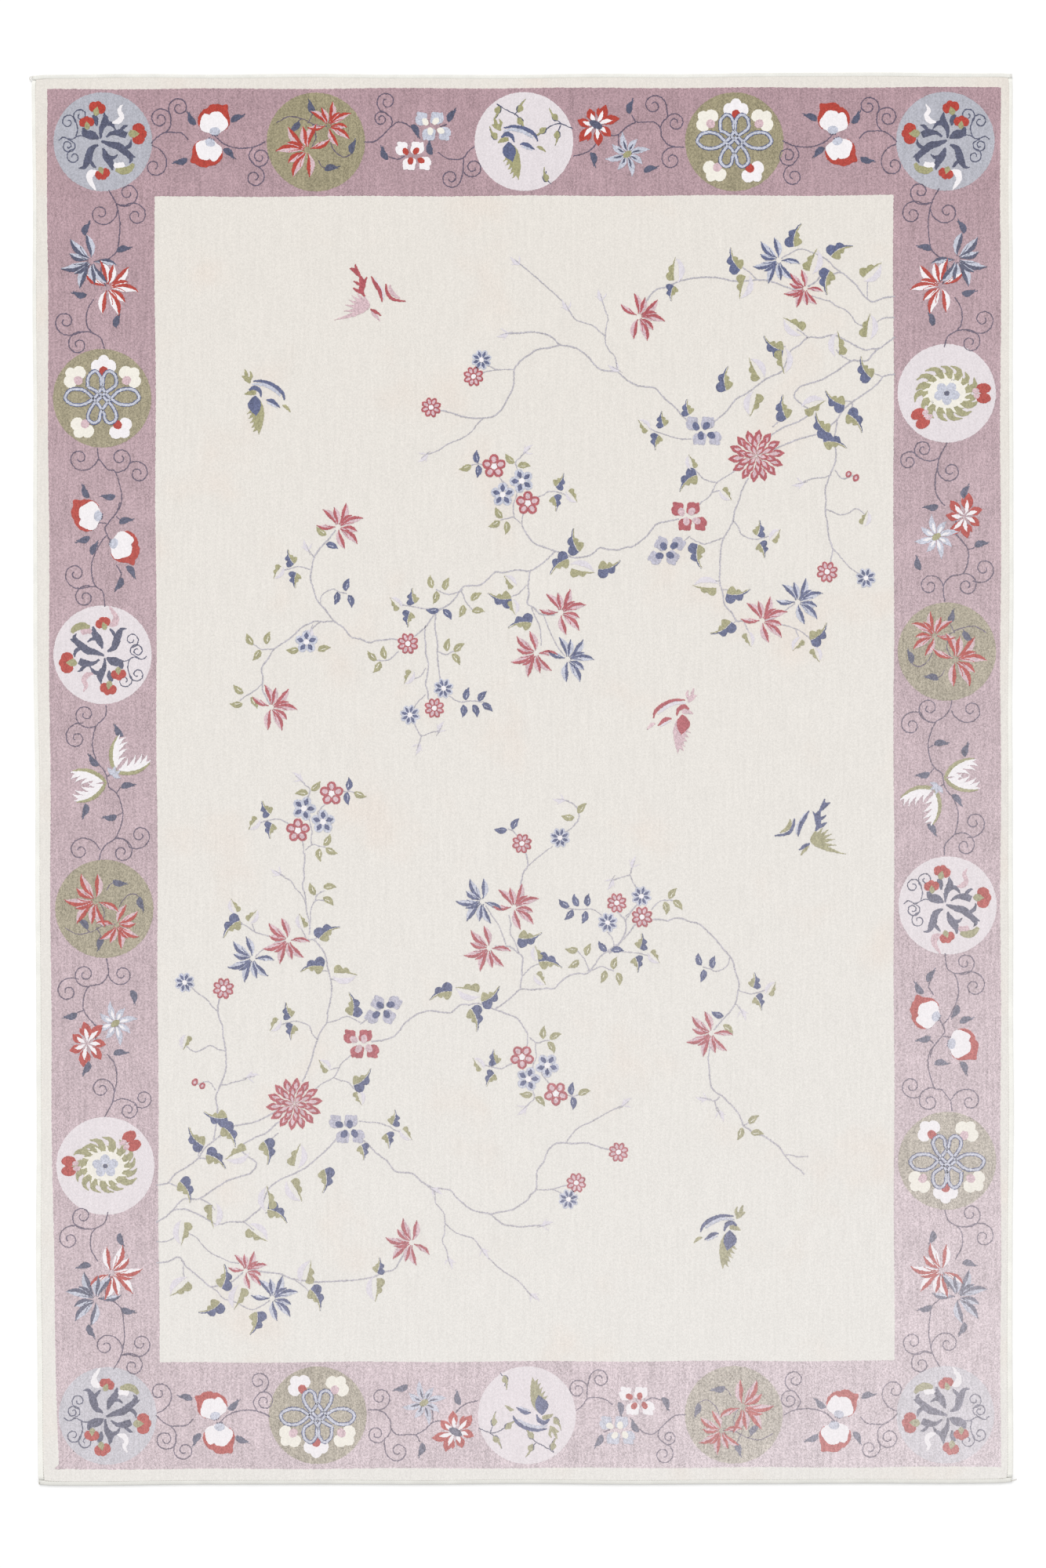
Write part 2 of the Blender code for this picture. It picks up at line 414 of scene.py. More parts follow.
def thread_material(context):
    """Twisted sewing thread, grey beige: slightly glossy, darker in its twist and towards the near end."""
    material, tree, coords = new_material("sewing_thread")
    twist = add_node(tree, "ShaderNodeTexNoise", {"Vector": coords, "Scale": 900.0, "Detail": 1.0})
    slow = add_node(tree, "ShaderNodeTexNoise", {"Vector": coords, "Scale": 9.0, "Detail": 3.0})
    axes = add_node(tree, "ShaderNodeSeparateXYZ", {0: coords})
    towards_near = add_node(tree, "ShaderNodeMapRange", {
        "Value": axes.outputs["Y"], "From Min": FADE_END, "From Max": -FADE_END,
        "To Min": 1.18, "To Max": 0.86,
    })
    both = add_node(tree, "ShaderNodeMath", {0: twist, 1: slow}, operation="ADD")
    tone = add_node(
        tree, "ShaderNodeMapRange",
        {"Value": both, "From Min": 0.6, "From Max": 1.4, "To Min": 0.72, "To Max": 1.2},
    )
    value = add_node(tree, "ShaderNodeMath", {0: tone, 1: towards_near}, operation="MULTIPLY")
    colour = (*context.scene.rug_colours.thread, 1.0)
    toned = add_node(tree, "ShaderNodeHueSaturation", {"Fac": 1.0, "Color": colour, "Value": value})
    shader = add_node(tree, "ShaderNodeBsdfPrincipled", {"Base Color": toned, "Roughness": 0.6})
    add_node(tree, "ShaderNodeOutputMaterial", {"Surface": shader})
    return material


def floor_material(context):
    """A plain painted floor, matt, a very little darker in soft clouds."""
    material, tree, coords = new_material("plain_floor")
    cloud = add_node(tree, "ShaderNodeTexNoise", {"Vector": coords, "Scale": 1.5, "Detail": 1.0})
    colour = tuple(context.scene.rug_colours.floor)
    dim = tuple(c * FLOOR_DIM for c in colour)
    shade = add_node(
        tree, "ShaderNodeMix", {0: cloud, 6: (*colour, 1.0), 7: (*dim, 1.0)}, data_type="RGBA"
    ).outputs[2]
    finish = {"Base Color": shade, "Roughness": 0.9, "Specular IOR Level": 0.1}
    shader = add_node(tree, "ShaderNodeBsdfPrincipled", finish)
    add_node(tree, "ShaderNodeOutputMaterial", {"Surface": shader})
    return material


# Shared steps of making a piece
def deselect():
    bpy.ops.object.select_all(action="DESELECT")


def only(thing):
    """Makes a thing the one that operators act on."""
    deselect()
    thing.select_set(True)
    bpy.context.view_layer.objects.active = thing


def plan_map(thing):
    """Lays the rug's plan over a piece as its own map, so that its pattern keeps its place."""
    layer = thing.data.uv_layers.new(name="OFBake")
    for loop in thing.data.loops:
        corner = thing.data.vertices[loop.vertex_index].co
        layer.data[loop.index].uv = (0.5 + corner.x / MAP_SPAN, 0.5 + corner.y / MAP_SPAN)


def solid(thing, depth):
    """Gives a flat sheet its thickness, downwards."""
    only(thing)
    bpy.ops.object.modifier_add(type="SOLIDIFY")
    sheet = thing.modifiers[-1]
    sheet.thickness = depth
    sheet.offset = -1.0
    bpy.ops.object.modifier_apply(modifier=sheet.name)


def piece_from(name, vertices, faces, material):
    """A new piece from its vertices and faces."""
    data = bpy.data.meshes.new(name)
    data.from_pydata(vertices, [], faces)
    data.materials.append(material)
    thing = bpy.data.objects.new(name, data)
    bpy.context.scene.collection.objects.link(thing)
    return thing


def dress(thing, slot, *nodes):
    """Hangs a finished piece on the root body and hides the nodes that it stands for. The slot is not used.
    """
    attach(thing, "root")
    if nodes:
        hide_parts(*nodes)


# Drawing with yarn
class Place:
    """Where a motif lies: its middle in mm, its turn in degrees, its size, and -1 where it is mirrored."""

    def __init__(self, x=0.0, y=0.0, turn=0.0, size=1.0, hand=1):
        self.x = x
        self.y = y
        self.turn = turn
        self.size = size
        self.hand = hand
        self.cos = math.cos(math.radians(turn)) * size
        self.sin = math.sin(math.radians(turn)) * size

    def put(self, x, y):
        """A point of the motif as a point of the rug's pattern."""
        y *= self.hand
        return self.x + x * self.cos - y * self.sin, self.y + x * self.sin + y * self.cos

    def inner(self, x, y, turn=0.0, size=1.0, hand=1):
        """A place inside this one."""
        px, py = self.put(x, y)
        return Place(px, py, self.turn + self.hand * turn, self.size * size, self.hand * hand)


RUG = Place()
OTHER_HALF = Place(turn=180.0)


class Inlay:
    """Patches of pile in several yarns, gathered before they become pieces."""

    def __init__(self, seed):
        self.chance = random.Random(seed)
        self.yarns = {}
        self.laid = 0

    def rag(self):
        return self.chance.uniform(-RAGGED, RAGGED)

    def add(self, yarn, level, points, faces, mirrored):
        vertices, polygons = self.yarns.setdefault(yarn, ([], []))
        start = len(vertices)
        rise = INLAY_STEP * level + STAGGER * (self.laid % STAGGERS)
        self.laid += 1
        vertices.extend(on_pile(x, y, rise) for x, y in points)
        for face in faces:
            corners = [start + k for k in face]
            polygons.append(corners[::-1] if mirrored else corners)

    def lay(self, context):
        """Makes each yarn's patches a piece, or joins them to the piece that is there."""
        for yarn, (vertices, polygons) in self.yarns.items():
            name = "yarn_" + yarn
            before = bpy.data.objects.get(name)
            thing = piece_from(name, vertices, polygons, yarn_material(context, yarn))
            solid(thing, INLAY_DEPTH)
            plan_map(thing)
            if before is None:
                dress(thing, "pile")
            else:
                only(before)
                thing.select_set(True)
                bpy.ops.object.join()


def along_curve(before, start, end, after, t):
    """A value on a smooth curve from start to end, at t from 0 to 1."""
    return 0.5 * (
        2 * start + (end - before) * t + (2 * before - 5 * start + 4 * end - after) * t * t
        + (3 * start - before - 3 * end + after) * t ** 3
    )


def smooth(rows, step):
    """Rows about a step apart along a smooth curve through the given rows. Each row starts with x and y."""
    rows = [rows[0], *rows, rows[-1]]
    result = []
    for k in range(1, len(rows) - 2):
        before, start, end, after = rows[k - 1:k + 3]
        count = max(1, round(math.hypot(end[0] - start[0], end[1] - start[1]) / step))
        for i in range(count):
            columns = zip(before, start, end, after)
            result.append(tuple(along_curve(*column, i / count) for column in columns))
    result.append(tuple(rows[-1]))
    return result


def ribbon(cloth, at, yarn, level, spine, left_width, right_width):
    """A patch along a spine, with its edges that far to the left and right of it."""
    last = len(spine) - 1
    left = []
    right = []
    headings = []
    for k, (x, y) in enumerate(spine):
        bx, by = spine[max(k - 1, 0)]
        ax, ay = spine[min(k + 1, last)]
        run = math.hypot(ax - bx, ay - by) or 1.0
        nx = (by - ay) / run
        ny = (ax - bx) / run
        slip = SLIP * cloth.rag()
        to_left = left_width[k] + (cloth.rag() + slip) / at.size
        to_right = right_width[k] + (cloth.rag() - slip) / at.size
        lack = 0.5 * max(0.0, NARROWEST - to_left - to_right)
        to_left += lack
        to_right += lack
        left.append((x + nx * to_left, y + ny * to_left))
        right.append((x - nx * to_right, y - ny * to_right))
        headings.append((ny, -nx))
    count = last + 1
    faces = [(k, count + k, count + k + 1, k + 1) for k in range(last)]
    edges = onward(left, headings) + onward(right, headings)
    cloth.add(yarn, level, [at.put(x, y) for x, y in edges], faces, at.hand < 0)


def onward(edge, headings):
    """A ribbon's edge, with points moved on where a tight bend would fold it back."""
    result = [edge[0]]
    for (x, y), (ux, uy) in zip(edge[1:], headings[1:]):
        before_x, before_y = result[-1]
        short = SHORTEST_STEP - (x - before_x) * ux - (y - before_y) * uy
        shift = max(0.0, short)
        result.append((x + ux * shift, y + uy * shift))
    return result


def brush(cloth, at, yarn, level, rows):
    """A stroke through rows of x, y and width."""
    line = smooth(rows, STEP / at.size)
    halves = [max(row[2], THIN / at.size) / 2 for row in line]
    ribbon(cloth, at, yarn, level, [row[:2] for row in line], halves, halves)


def line(cloth, at, yarn, level, points, width):
    """A stroke of one width."""
    brush(cloth, at, yarn, level, [(x, y, width) for x, y in points])


def swell(t, fullest):
    """From 0 at the base to 1 where a blade is fullest, and back to 0 at its tip."""
    bend = math.log(0.5) / math.log(fullest)
    return max(0.0, math.sin(math.pi * t ** bend))


def blade(cloth, at, yarn, level, base, tip, left, right, bow=0.0, fullest=0.45, gap=0.0, shape=None):
    """A pointed form from base to tip. left and right are its widths beside its spine, which bows
    sideways by a share of its length; a width below 0 leaves that side out, beyond the gap."""
    length = math.hypot(tip[0] - base[0], tip[1] - base[1])
    count = max(4, round(length * at.size / STEP))
    ux = (tip[0] - base[0]) / length
    uy = (tip[1] - base[1]) / length
    thin = THINNEST_BLADE / at.size
    spine = []
    to_left = []
    to_right = []
    for k in range(count + 1):
        t = k / count
        off = 4.0 * bow * length * t * (1.0 - t)
        spine.append((base[0] + ux * length * t - uy * off, base[1] + uy * length * t + ux * off))
        full = shape(t) if shape else swell(t, fullest)
        to_left.append(-gap if left < 0 else max(left * full, thin) + (gap if right < 0 else 0.0))
        to_right.append(-gap if right < 0 else max(right * full, thin) + (gap if left < 0 else 0.0))
    ribbon(cloth, at, yarn, level, spine, to_left, to_right)


def patch(cloth, at, yarn, level, radius, rings=1):
    """A patch round a place's middle, out to radius(angle), with rings of points inside if it is large."""
    widest = max(radius(math.tau * k / 12) for k in range(12))
    count = max(7, round(math.tau * widest * at.size / STEP))
    points = [at.put(0.0, 0.0)]
    for ring in range(1, rings + 1):
        for k in range(count):
            angle = math.tau * k / count
            reach = radius(angle) * ring / rings
            if ring == rings:
                reach += cloth.rag() / at.size
            points.append(at.put(reach * math.cos(angle), reach * math.sin(angle)))
    faces = [(0, 1 + k, 1 + (k + 1) % count) for k in range(count)]
    for ring in range(1, rings):
        inner = 1 + (ring - 1) * count
        outer = inner + count
        for k in range(count):
            following = (k + 1) % count
            faces.append((inner + k, outer + k, outer + following, inner + following))
    cloth.add(yarn, level, points, faces, at.hand < 0)


def oval(along, across):
    """The radius of an oval at an angle."""

    def radius(angle):
        return along * across / math.hypot(across * math.cos(angle), along * math.sin(angle))

    return radius


def spot(cloth, at, yarn, level, x, y, along, across=None, turn=0.0):
    """A round or oval patch."""
    patch(cloth, at.inner(x, y, turn), yarn, level, oval(along, across or along))


def polar(angle, reach):
    """A point at an angle in degrees and a distance."""
    return reach * math.cos(math.radians(angle)), reach * math.sin(math.radians(angle))


# Leaves
Lobe = namedtuple("Lobe", "middle reach height")
LARGE_LOBES = (
    (Lobe(0.17, 0.21, 1.0), Lobe(0.49, 0.17, 0.68)),
    (Lobe(0.20, 0.21, 0.92), Lobe(0.50, 0.14, 0.56)),
)
SMALL_LOBES = ((Lobe(0.24, 0.24, 1.0),), (Lobe(0.30, 0.25, 0.92),))
BRACT_SIZE = 0.62


def lobed(lobes, tail):
    """A leaf's half width from base to tip: round lobes, then a tapering tail."""

    def shape(t):
        reach = [tail * (1.0 - t) ** 0.6 * min(1.0, 6.0 * t)]
        for lobe in lobes:
            inside = 1.0 - ((t - lobe.middle) / lobe.reach) ** 2
            reach.append(lobe.height * math.sqrt(max(0.0, inside)))
        return max(reach)

    return shape


def two_tone_leaf(cloth, at, level, length, width, bow):
    """A leaf with a navy half and an olive half, and bare ground for its midrib."""
    base = (-0.5 * length, 0.0)
    tip = (0.5 * length, 0.06 * length)
    blade(cloth, at, "navy", level, base, tip, width, -1, bow, gap=0.5, shape=lobed(LARGE_LOBES[0], 0.30))
    blade(cloth, at, "olive", level, base, tip, -1, width, bow, gap=0.5, shape=lobed(LARGE_LOBES[1], 0.27))


def large_leaf(cloth, at, level=LEAF_LEVEL):
    two_tone_leaf(cloth, at, level, 39.0, 14.5, 0.13)


def small_leaf(cloth, at, level=LEAF_LEVEL):
    two_tone_leaf(cloth, at, level, 25.0, 11.0, 0.10)


def half_leaf(cloth, at, level=LEAF_LEVEL):
    """A leaf seen from its side: an olive half, and a pale crescent for the other."""
    shape = lobed(LARGE_LOBES[0], 0.34)
    blade(cloth, at, "lilac", level, (-20, -5), (18, 4), 3.2, 6.4, -0.16, 0.5)
    blade(cloth, at, "olive", level + 1, (-18, 2), (20, 6), 13.0, -1, 0.04, gap=-0.6, shape=shape)


def plain_leaf(cloth, at, yarn, level=LEAF_LEVEL, length=21.0, width=5.4):
    """A small pointed leaf with a light vein."""
    vein = "cream" if yarn == "olive" else "sky"
    blade(cloth, at, yarn, level, (-0.5 * length, 0), (0.5 * length, 0), width, width, 0.10, 0.40)
    blade(cloth, at, vein, level + 1, (-0.30 * length, 0.1), (0.10 * length, 0.5), 0.5, 0.5, 0.05)


def border_leaf(cloth, at, level=LEAF_LEVEL):
    """A slate leaf of the border, with one curled tip."""
    blade(cloth, at, "slate", level, (-10, 0), (13, 1), 6.0, 4.6, 0.12, 0.38)
    brush(cloth, at, "slate", level, [(7, 1.5, 3.0), (12, 3.5, 1.8), (16, 3.4, 1.0)])


# Flowers
Petal = namedtuple("Petal", "turn reach width bow")
SPIDER_PETALS = (
    Petal(116, 1.00, 0.125, -0.10),
    Petal(86, 0.86, 0.12, -0.04),
    Petal(56, 1.08, 0.135, -0.08),
    Petal(26, 0.78, 0.12, 0.04),
    Petal(4, 1.14, 0.13, 0.10),
    Petal(-28, 0.84, 0.125, 0.07),
    Petal(-56, 1.10, 0.14, 0.08),
    Petal(-88, 0.98, 0.13, -0.07),
    Petal(160, 0.92, 0.10, 0.10),
)
SPIDER_FULLNESS = 1.2
SPIDER_LIGHT_SIDE = 1.08
SPIDER_DARK_SIDE = 0.80


def spider_flower(cloth, at, reach, dark, light, level=FLOWER_LEVEL):
    """A flower of slim curved petals, each dark on one side and light on the other."""
    for petal in SPIDER_PETALS:
        base = polar(petal.turn, 0.12 * reach)
        tip = polar(petal.turn, petal.reach * reach)
        wide = petal.width * reach * SPIDER_FULLNESS
        blade(cloth, at, light, level, base, tip, 0.5, wide * SPIDER_LIGHT_SIDE, petal.bow, 0.48)
        blade(cloth, at, dark, level + 1, base, tip, wide * SPIDER_DARK_SIDE, 0.3, petal.bow, 0.58)
        fold = polar(petal.turn - 5, 0.60 * reach * petal.reach)
        blade(cloth, at, dark, level + 1, base, fold, 0.5, 0.9, petal.bow, 0.4)


def daisy(cloth, at, reach, count, outer, inner, level=FLOWER_LEVEL):
    """A small round flower with blunt petals and a white eye."""
    across = reach * (0.40 if count < 7 else 0.29)
    pointed = inner == "navy"
    for k in range(count):
        petal = at.inner(0, 0, 360.0 * k / count + 18.0)
        patch(cloth, petal.inner(0.64 * reach, 0), outer, level, oval(0.40 * reach, across))
        if pointed:
            wide = across * 0.52
            foot = (0.24 * reach, 0)
            blade(cloth, petal, inner, level + 1, foot, (0.90 * reach, 0), wide, wide, 0.0, 0.50)
        else:
            patch(cloth, petal.inner(0.60 * reach, 0), inner, level + 1, oval(0.26 * reach, across * 0.50))
    spot(cloth, at, "white", level + 2, 0, 0, 0.25 * reach)


FOUR_PETALS = ((-14.5, 9.5), (5.5, 10.5), (-5.0, -10.5), (15.0, -9.5))


def notched_petal(outward):
    """A blunt petal with a notch in its outer edge."""

    def radius(angle):
        c = abs(math.cos(angle)) ** 4
        s = abs(math.sin(angle)) ** 4
        square = (c + s) ** -0.25
        off = (angle - outward + math.pi) % math.tau - math.pi
        notch = 0.30 * math.exp(-((off / 0.22) ** 2))
        corner = 0.06 * math.cos(2 * (angle - outward) + 1.2) + 0.05 * math.cos(5 * angle + outward)
        return 8.0 * square * (1.0 - notch + corner)

    return radius


def four_petals(cloth, at, petal, drop, drop_size=4.6, level=FLOWER_LEVEL):
    """A flower of four notched petals, each with a drop of another colour at its foot."""
    for x, y in FOUR_PETALS:
        outward = math.atan2(y, x)
        patch(cloth, at.inner(x * CHART, y * CHART, 0, CHART), petal, level, notched_petal(outward))
        foot = at.inner(x * 0.66 * CHART, y * 0.60 * CHART, math.degrees(outward) * 0.8, CHART)
        patch(cloth, foot, drop, level + 1, oval(drop_size * 1.05, drop_size * 0.80))


STAR_PETALS = (
    Petal(112, 22, 5.6, 0.06),
    Petal(64, 28, 6.0, -0.07),
    Petal(14, 31, 5.8, 0.06),
    Petal(-38, 24, 5.4, 0.05),
    Petal(-84, 27, 6.0, 0.05),
    Petal(-134, 30, 6.2, -0.06),
    Petal(166, 24, 5.4, 0.07),
)


def red_star(cloth, at, core, level=FLOWER_LEVEL):
    """A red flower of seven pointed petals, each with a white sliver."""
    at = at.inner(0, 0, 0, CHART)
    for petal in STAR_PETALS:
        base = polar(petal.turn, 3)
        tip = polar(petal.turn, petal.reach)
        blade(cloth, at, "brick", level, base, tip, petal.width, petal.width, petal.bow, 0.58)
        notch = polar(petal.turn + 16, petal.reach * 0.78)
        blade(cloth, at, "brick", level, polar(petal.turn, 9), notch, 2.6, 2.2, 0.05, 0.6)
        end = polar(petal.turn, petal.reach * 0.70)
        blade(cloth, at, "white", level + 1, polar(petal.turn, 2), end, 2.5, 2.5, petal.bow, 0.55)
    if core:
        spot(cloth, at, core, level + 2, 0, 0, 9.0, 4.6, -28)


def pale_star(cloth, at, level=FLOWER_LEVEL, stamens=True):
    """A pale flower of eight slim petals round an olive heart."""
    at = at.inner(0, 0, 0, CHART)
    for k in range(8):
        turn = 45.0 * k + 12.0
        reach = 29.0 - 6.0 * (k % 2)
        blade(cloth, at, "sky", level, polar(turn, 3), polar(turn, reach), 4.2, 3.8, 0.07, 0.46)
        inner, wide = ("slate", 1.3) if stamens else ("white", 1.8)
        tip = polar(turn + 3, reach * 0.62)
        blade(cloth, at, inner, level + 1, polar(turn, 5), tip, wide, wide, 0.05, 0.5)
    spot(cloth, at, "olive", level + 2, 0, 0, 6.2, 3.8, 35)


# petals, foot, tip, half width and first turn of each ring
MUM_RINGS = (
    (14, 16.0, 36.5, 4.7, 6.0),
    (10, 8.0, 27.0, 4.2, 24.0),
    (6, 1.5, 17.0, 3.8, 50.0),
)


def chrysanthemum(cloth, at, level=FLOWER_LEVEL):
    """A full round flower of pointed petals in three rings, red at their edges and pink inside."""
    at = at.inner(0, 0, 0, CHART)
    for ring, (count, foot, tip, half, first) in enumerate(MUM_RINGS):
        for k in range(count):
            turn = first + 360.0 * k / count
            flat = 1.0 - 0.08 * abs(math.sin(math.radians(turn)))
            base = polar(turn, foot * flat)
            end = polar(turn, tip * flat)
            blade(cloth, at, "rose", level + 2 * ring, base, end, half, half, 0.03, 0.55)
            inner_end = polar(turn, (foot + 0.70 * (tip - foot)) * flat)
            slim = half * 0.5
            blade(cloth, at, "pink", level + 2 * ring + 1, base, inner_end, slim, slim, 0.03, 0.55)


def fruit(cloth, at, level=FLOWER_LEVEL):
    """A split fruit: a white lobed body, a red rind with a pointed tip, and a pale blue mouth."""
    at = at.inner(0, 0, 0, CHART)
    count = 54
    first = math.radians(-42)
    last = math.radians(206)
    spine = []
    outer = []
    inner = []
    for k in range(count + 1):
        angle = first + (last - first) * k / count
        turn = math.degrees(angle)
        share = math.sin(math.pi * k / count) ** 0.7
        back = math.exp(-(((turn - 76) / 40) ** 2))
        horn = math.exp(-(((turn - 52) / 9) ** 2))
        notch = math.exp(-(((turn - 112) / 7) ** 2))
        spine.append((18.6 * math.cos(angle), 15.6 * math.sin(angle)))
        outer.append(0.5 + 2.2 * share + 4.6 * back + 5.5 * horn - 1.6 * notch)
        inner.append(1.4 + 3.4 * share)
    ribbon(cloth, at, "brick", level, spine, inner, outer)

    def body(angle):
        lobes = 1.0 + 0.06 * math.cos(5 * angle + 0.8) - 0.24 * math.exp(-(((angle - 2.05) / 0.16) ** 2))
        return oval(17.8, 14.4)(angle) * lobes

    patch(cloth, at.inner(0, -1.6), "white", level + 1, body)
    spot(cloth, at, "sky", level + 2, 1.5, -12.0, 6.8, 5.2)
    for x in (-5, 0, 5):
        spot(cloth, at, "slate", level + 3, 1.5 + x * 0.6, -17.2, 0.9)


FAN_SHELL = ((0, 0, 2), (9, 4.5, 7), (22, 8, 8), (34, 8, 5), (45, 5, 1.2))
FAN_INSIDE = ((5, -0.5, 2), (14, 1.5, 7), (26, 3.5, 8), (38, 4, 4.5), (47, 2.5, 1))


def fan_flower(cloth, at, calyx, spread, level=FLOWER_LEVEL):
    """A flower like an open fan: two olive shells with white feathered insides."""
    at = at.inner(0, 0, 0, CHART)
    for side in (1, -1):
        arm = at.inner(0, 0, side * spread, hand=side)
        brush(cloth, arm, "olive", level, FAN_SHELL)
        brush(cloth, arm, "white", level + 1, FAN_INSIDE)
        for x, y, reach in ((10, -1, 13), (19, 0, 15), (28, 1, 14), (36, 2, 11)):
            tip = (x + 0.80 * reach, y - 0.72 * reach)
            blade(cloth, arm, "white", level + 2, (x - 3, y + 1), tip, 2.4, 2.4, 0.12, 0.35)
    if calyx:
        for turn in (-75, -25, 25, 75):
            tip_x, tip_y = polar(turn, 11)
            blade(cloth, at, "sky", level + 3, (-6, 0), (tip_x - 5, tip_y), 2.6, 2.6)


# Vines and scrolls
LOOP = 17.5
SCROLL_STEPS = 26


def scroll(cloth, at, row, yarn="vine", width=1.75, level=VINE_LEVEL, turns=1.45, loop=LOOP):
    """A tendril that leaves the vine at x, y and winds inwards round its middle, one way or the other."""
    x, y, middle_x, middle_y, way = row
    start = math.atan2(y - middle_y, x - middle_x)
    widest = math.hypot(y - middle_y, x - middle_x)
    loop = min(loop, widest)
    points = []
    for k in range(SCROLL_STEPS + 1):
        t = k / SCROLL_STEPS
        reach = loop * (1.0 - 0.78 * t) + (widest - loop) * math.exp(-7.0 * t)
        angle = start + way * math.tau * turns * t
        points.append((middle_x + reach * math.cos(angle), middle_y + reach * math.sin(angle)))
    line(cloth, at, yarn, level, points, width)


def vines(cloth, at, stretch):
    """The vines, scrolls and leaves of one stretch of the border."""
    for route in stretch.routes:
        line(cloth, at, "vine", VINE_LEVEL, route, 1.8)
    for row in stretch.scrolls:
        scroll(cloth, at, row)
    for x, y, turn in stretch.leaves:
        border_leaf(cloth, at.inner(x, y, turn))


# Each stretch of the border, in mm. A scroll is where it starts, its middle and the way it winds, and a
# leaf is x, y and the way it points
Stretch = namedtuple("Stretch", "routes scrolls leaves")
FRUIT_STRETCH = Stretch(
    routes=(
        ((-606, 1036), (-595, 1047), (-582, 1054), (-568, 1054), (-555, 1052), (-545, 1042)),
        ((-582, 1054), (-574, 1065), (-574, 1082)),
        ((-503, 1050), (-490, 1037), (-469, 1029), (-446, 1029), (-431, 1033), (-420, 1039)),
        ((-441, 1029), (-447, 1015), (-437, 1000)),
    ),
    scrolls=(
        (-574, 1082, -560, 1094, -1), (-574, 1082, -591, 1076, 1), (-605, 1033, -601, 999, -1),
        (-437, 1000, -429, 1014, 1), (-437, 1000, -438, 981, -1),
    ),
    leaves=((-537, 1076, 118), (-466, 1074, 22), (-557, 1010, 190), (-482, 1019, -45)),
)
FOUR_STRETCH = Stretch(
    routes=(
        ((-260, 1038), (-242, 1039), (-227, 1051), (-215, 1065), (-216, 1077), (-227, 1086)),
        ((-215, 1063), (-205, 1070), (-192, 1067), (-183, 1061)),
        ((-220, 1014), (-205, 1010), (-194, 1015)), ((-125, 1066), (-136, 1062)),
        ((-140, 1021), (-127, 1012), (-112, 1009), (-98, 1012), (-90, 1023), (-80, 1030)),
        ((-98, 1012), (-99, 991), (-102, 978)),
    ),
    scrolls=(
        (-227, 1086, -223, 1103, -1), (-227, 1086, -232, 1075, 1), (-99, 991, -83, 996, 1),
        (-102, 978, -119, 979, -1),
    ),
    leaves=((-179, 1056, -65), (-224, 1019, 110), (-116, 1078, 55), (-150, 1027, 95)),
)
STAR_STRETCH = Stretch(
    routes=(
        ((80, 1014), (97, 1018), (110, 1026), (117, 1034)),
        ((128, 1058), (139, 1048), (153, 1049), (168, 1062), (182, 1069)),
        ((154, 1049), (154, 1034), (159, 1023)),
        ((175, 1081), (182, 1070), (196, 1069), (212, 1069), (222, 1059), (224, 1045), (237, 1031),
         (260, 1028)),
        ((222, 1060), (226, 1070), (233, 1077), (232, 1091)),
    ),
    scrolls=((232, 1089, 211, 1096, 1), (233, 1077, 246, 1068, -1), (250, 1028, 240, 1008, 1)),
    leaves=((110, 1010, -80), (175, 1092, 70), (205, 990, 15)),
)
SPIDER_STRETCH = Stretch(
    routes=(
        ((-675, 961), (-664, 941), (-659, 923), (-657, 904), (-659, 877), (-664, 859), (-685, 844),
         (-700, 845)),
        ((-686, 843), (-688, 826), (-680, 805)),
        ((-700, 784), (-711, 764), (-711, 742), (-703, 730), (-689, 721), (-683, 703)),
        ((-703, 730), (-717, 731), (-734, 726)), ((-663, 938), (-649, 936)),
    ),
    scrolls=(
        (-662, 938, -644, 956, 1), (-649, 936, -631, 919, -1), (-660, 930, -688, 923, -1),
        (-734, 726, -746, 748, -1), (-716, 731, -725, 710, 1),
    ),
    leaves=((-652, 862, 10), (-710, 896, 60), (-721, 794, 165), (-660, 747, 70)),
)
SIDE_FRUIT_STRETCH = Stretch(
    routes=(
        ((-695, 542), (-693, 526)),
        ((-693, 525), (-678, 507), (-666, 503), (-656, 467), (-660, 444), (-678, 420), (-683, 410),
         (-674, 389)),
        ((-695, 421), (-681, 420)), ((-659, 454), (-663, 440)), ((-665, 431), (-656, 423)),
        ((-665, 352), (-657, 338), (-661, 327)),
        ((-681, 400), (-693, 384), (-705, 355), (-704, 330), (-698, 317), (-687, 308), (-684, 284)),
        ((-698, 317), (-705, 317), (-722, 314)),
    ),
    scrolls=(
        (-693, 525, -724, 526, -1), (-666, 503, -658, 526, 1), (-644, 517, -629, 501, -1),
        (-722, 314, -731, 338, -1), (-705, 317, -716, 299, 1),
    ),
    leaves=(
        (-676, 466, 175), (-712, 471, 110), (-650, 421, 10), (-718, 396, 195), (-644, 341, -60),
        (-662, 323, 235), (-699, 377, 60),
    ),
)
FAN_STRETCH = Stretch(
    routes=(
        ((-683, 124), (-684, 106), (-699, 90), (-704, 72), (-705, 54), (-698, 32), (-685, 15),
         (-679, -10)),
        ((-679, -10), (-666, -20), (-658, -40), (-657, -63), (-668, -92), (-682, -102), (-692, -115),
         (-695, -129)),
        ((-666, -19), (-660, -10)), ((-657, -51), (-665, -56)), ((-668, -92), (-653, -96), (-645, -108)),
        ((-682, 8), (-668, 15)),
    ),
    scrolls=(
        (-699, 90, -716, 109, -1), (-720, 95, -731, 70, 1), (-645, -108, -629, -88, 1),
        (-668, -93, -658, -116, -1), (-694, -112, -726, -113, 1),
    ),
    leaves=((-701, 34, 125), (-660, 82, 120), (-720, -46, -110), (-649, -10, 5), (-676, -56, 180)),
)
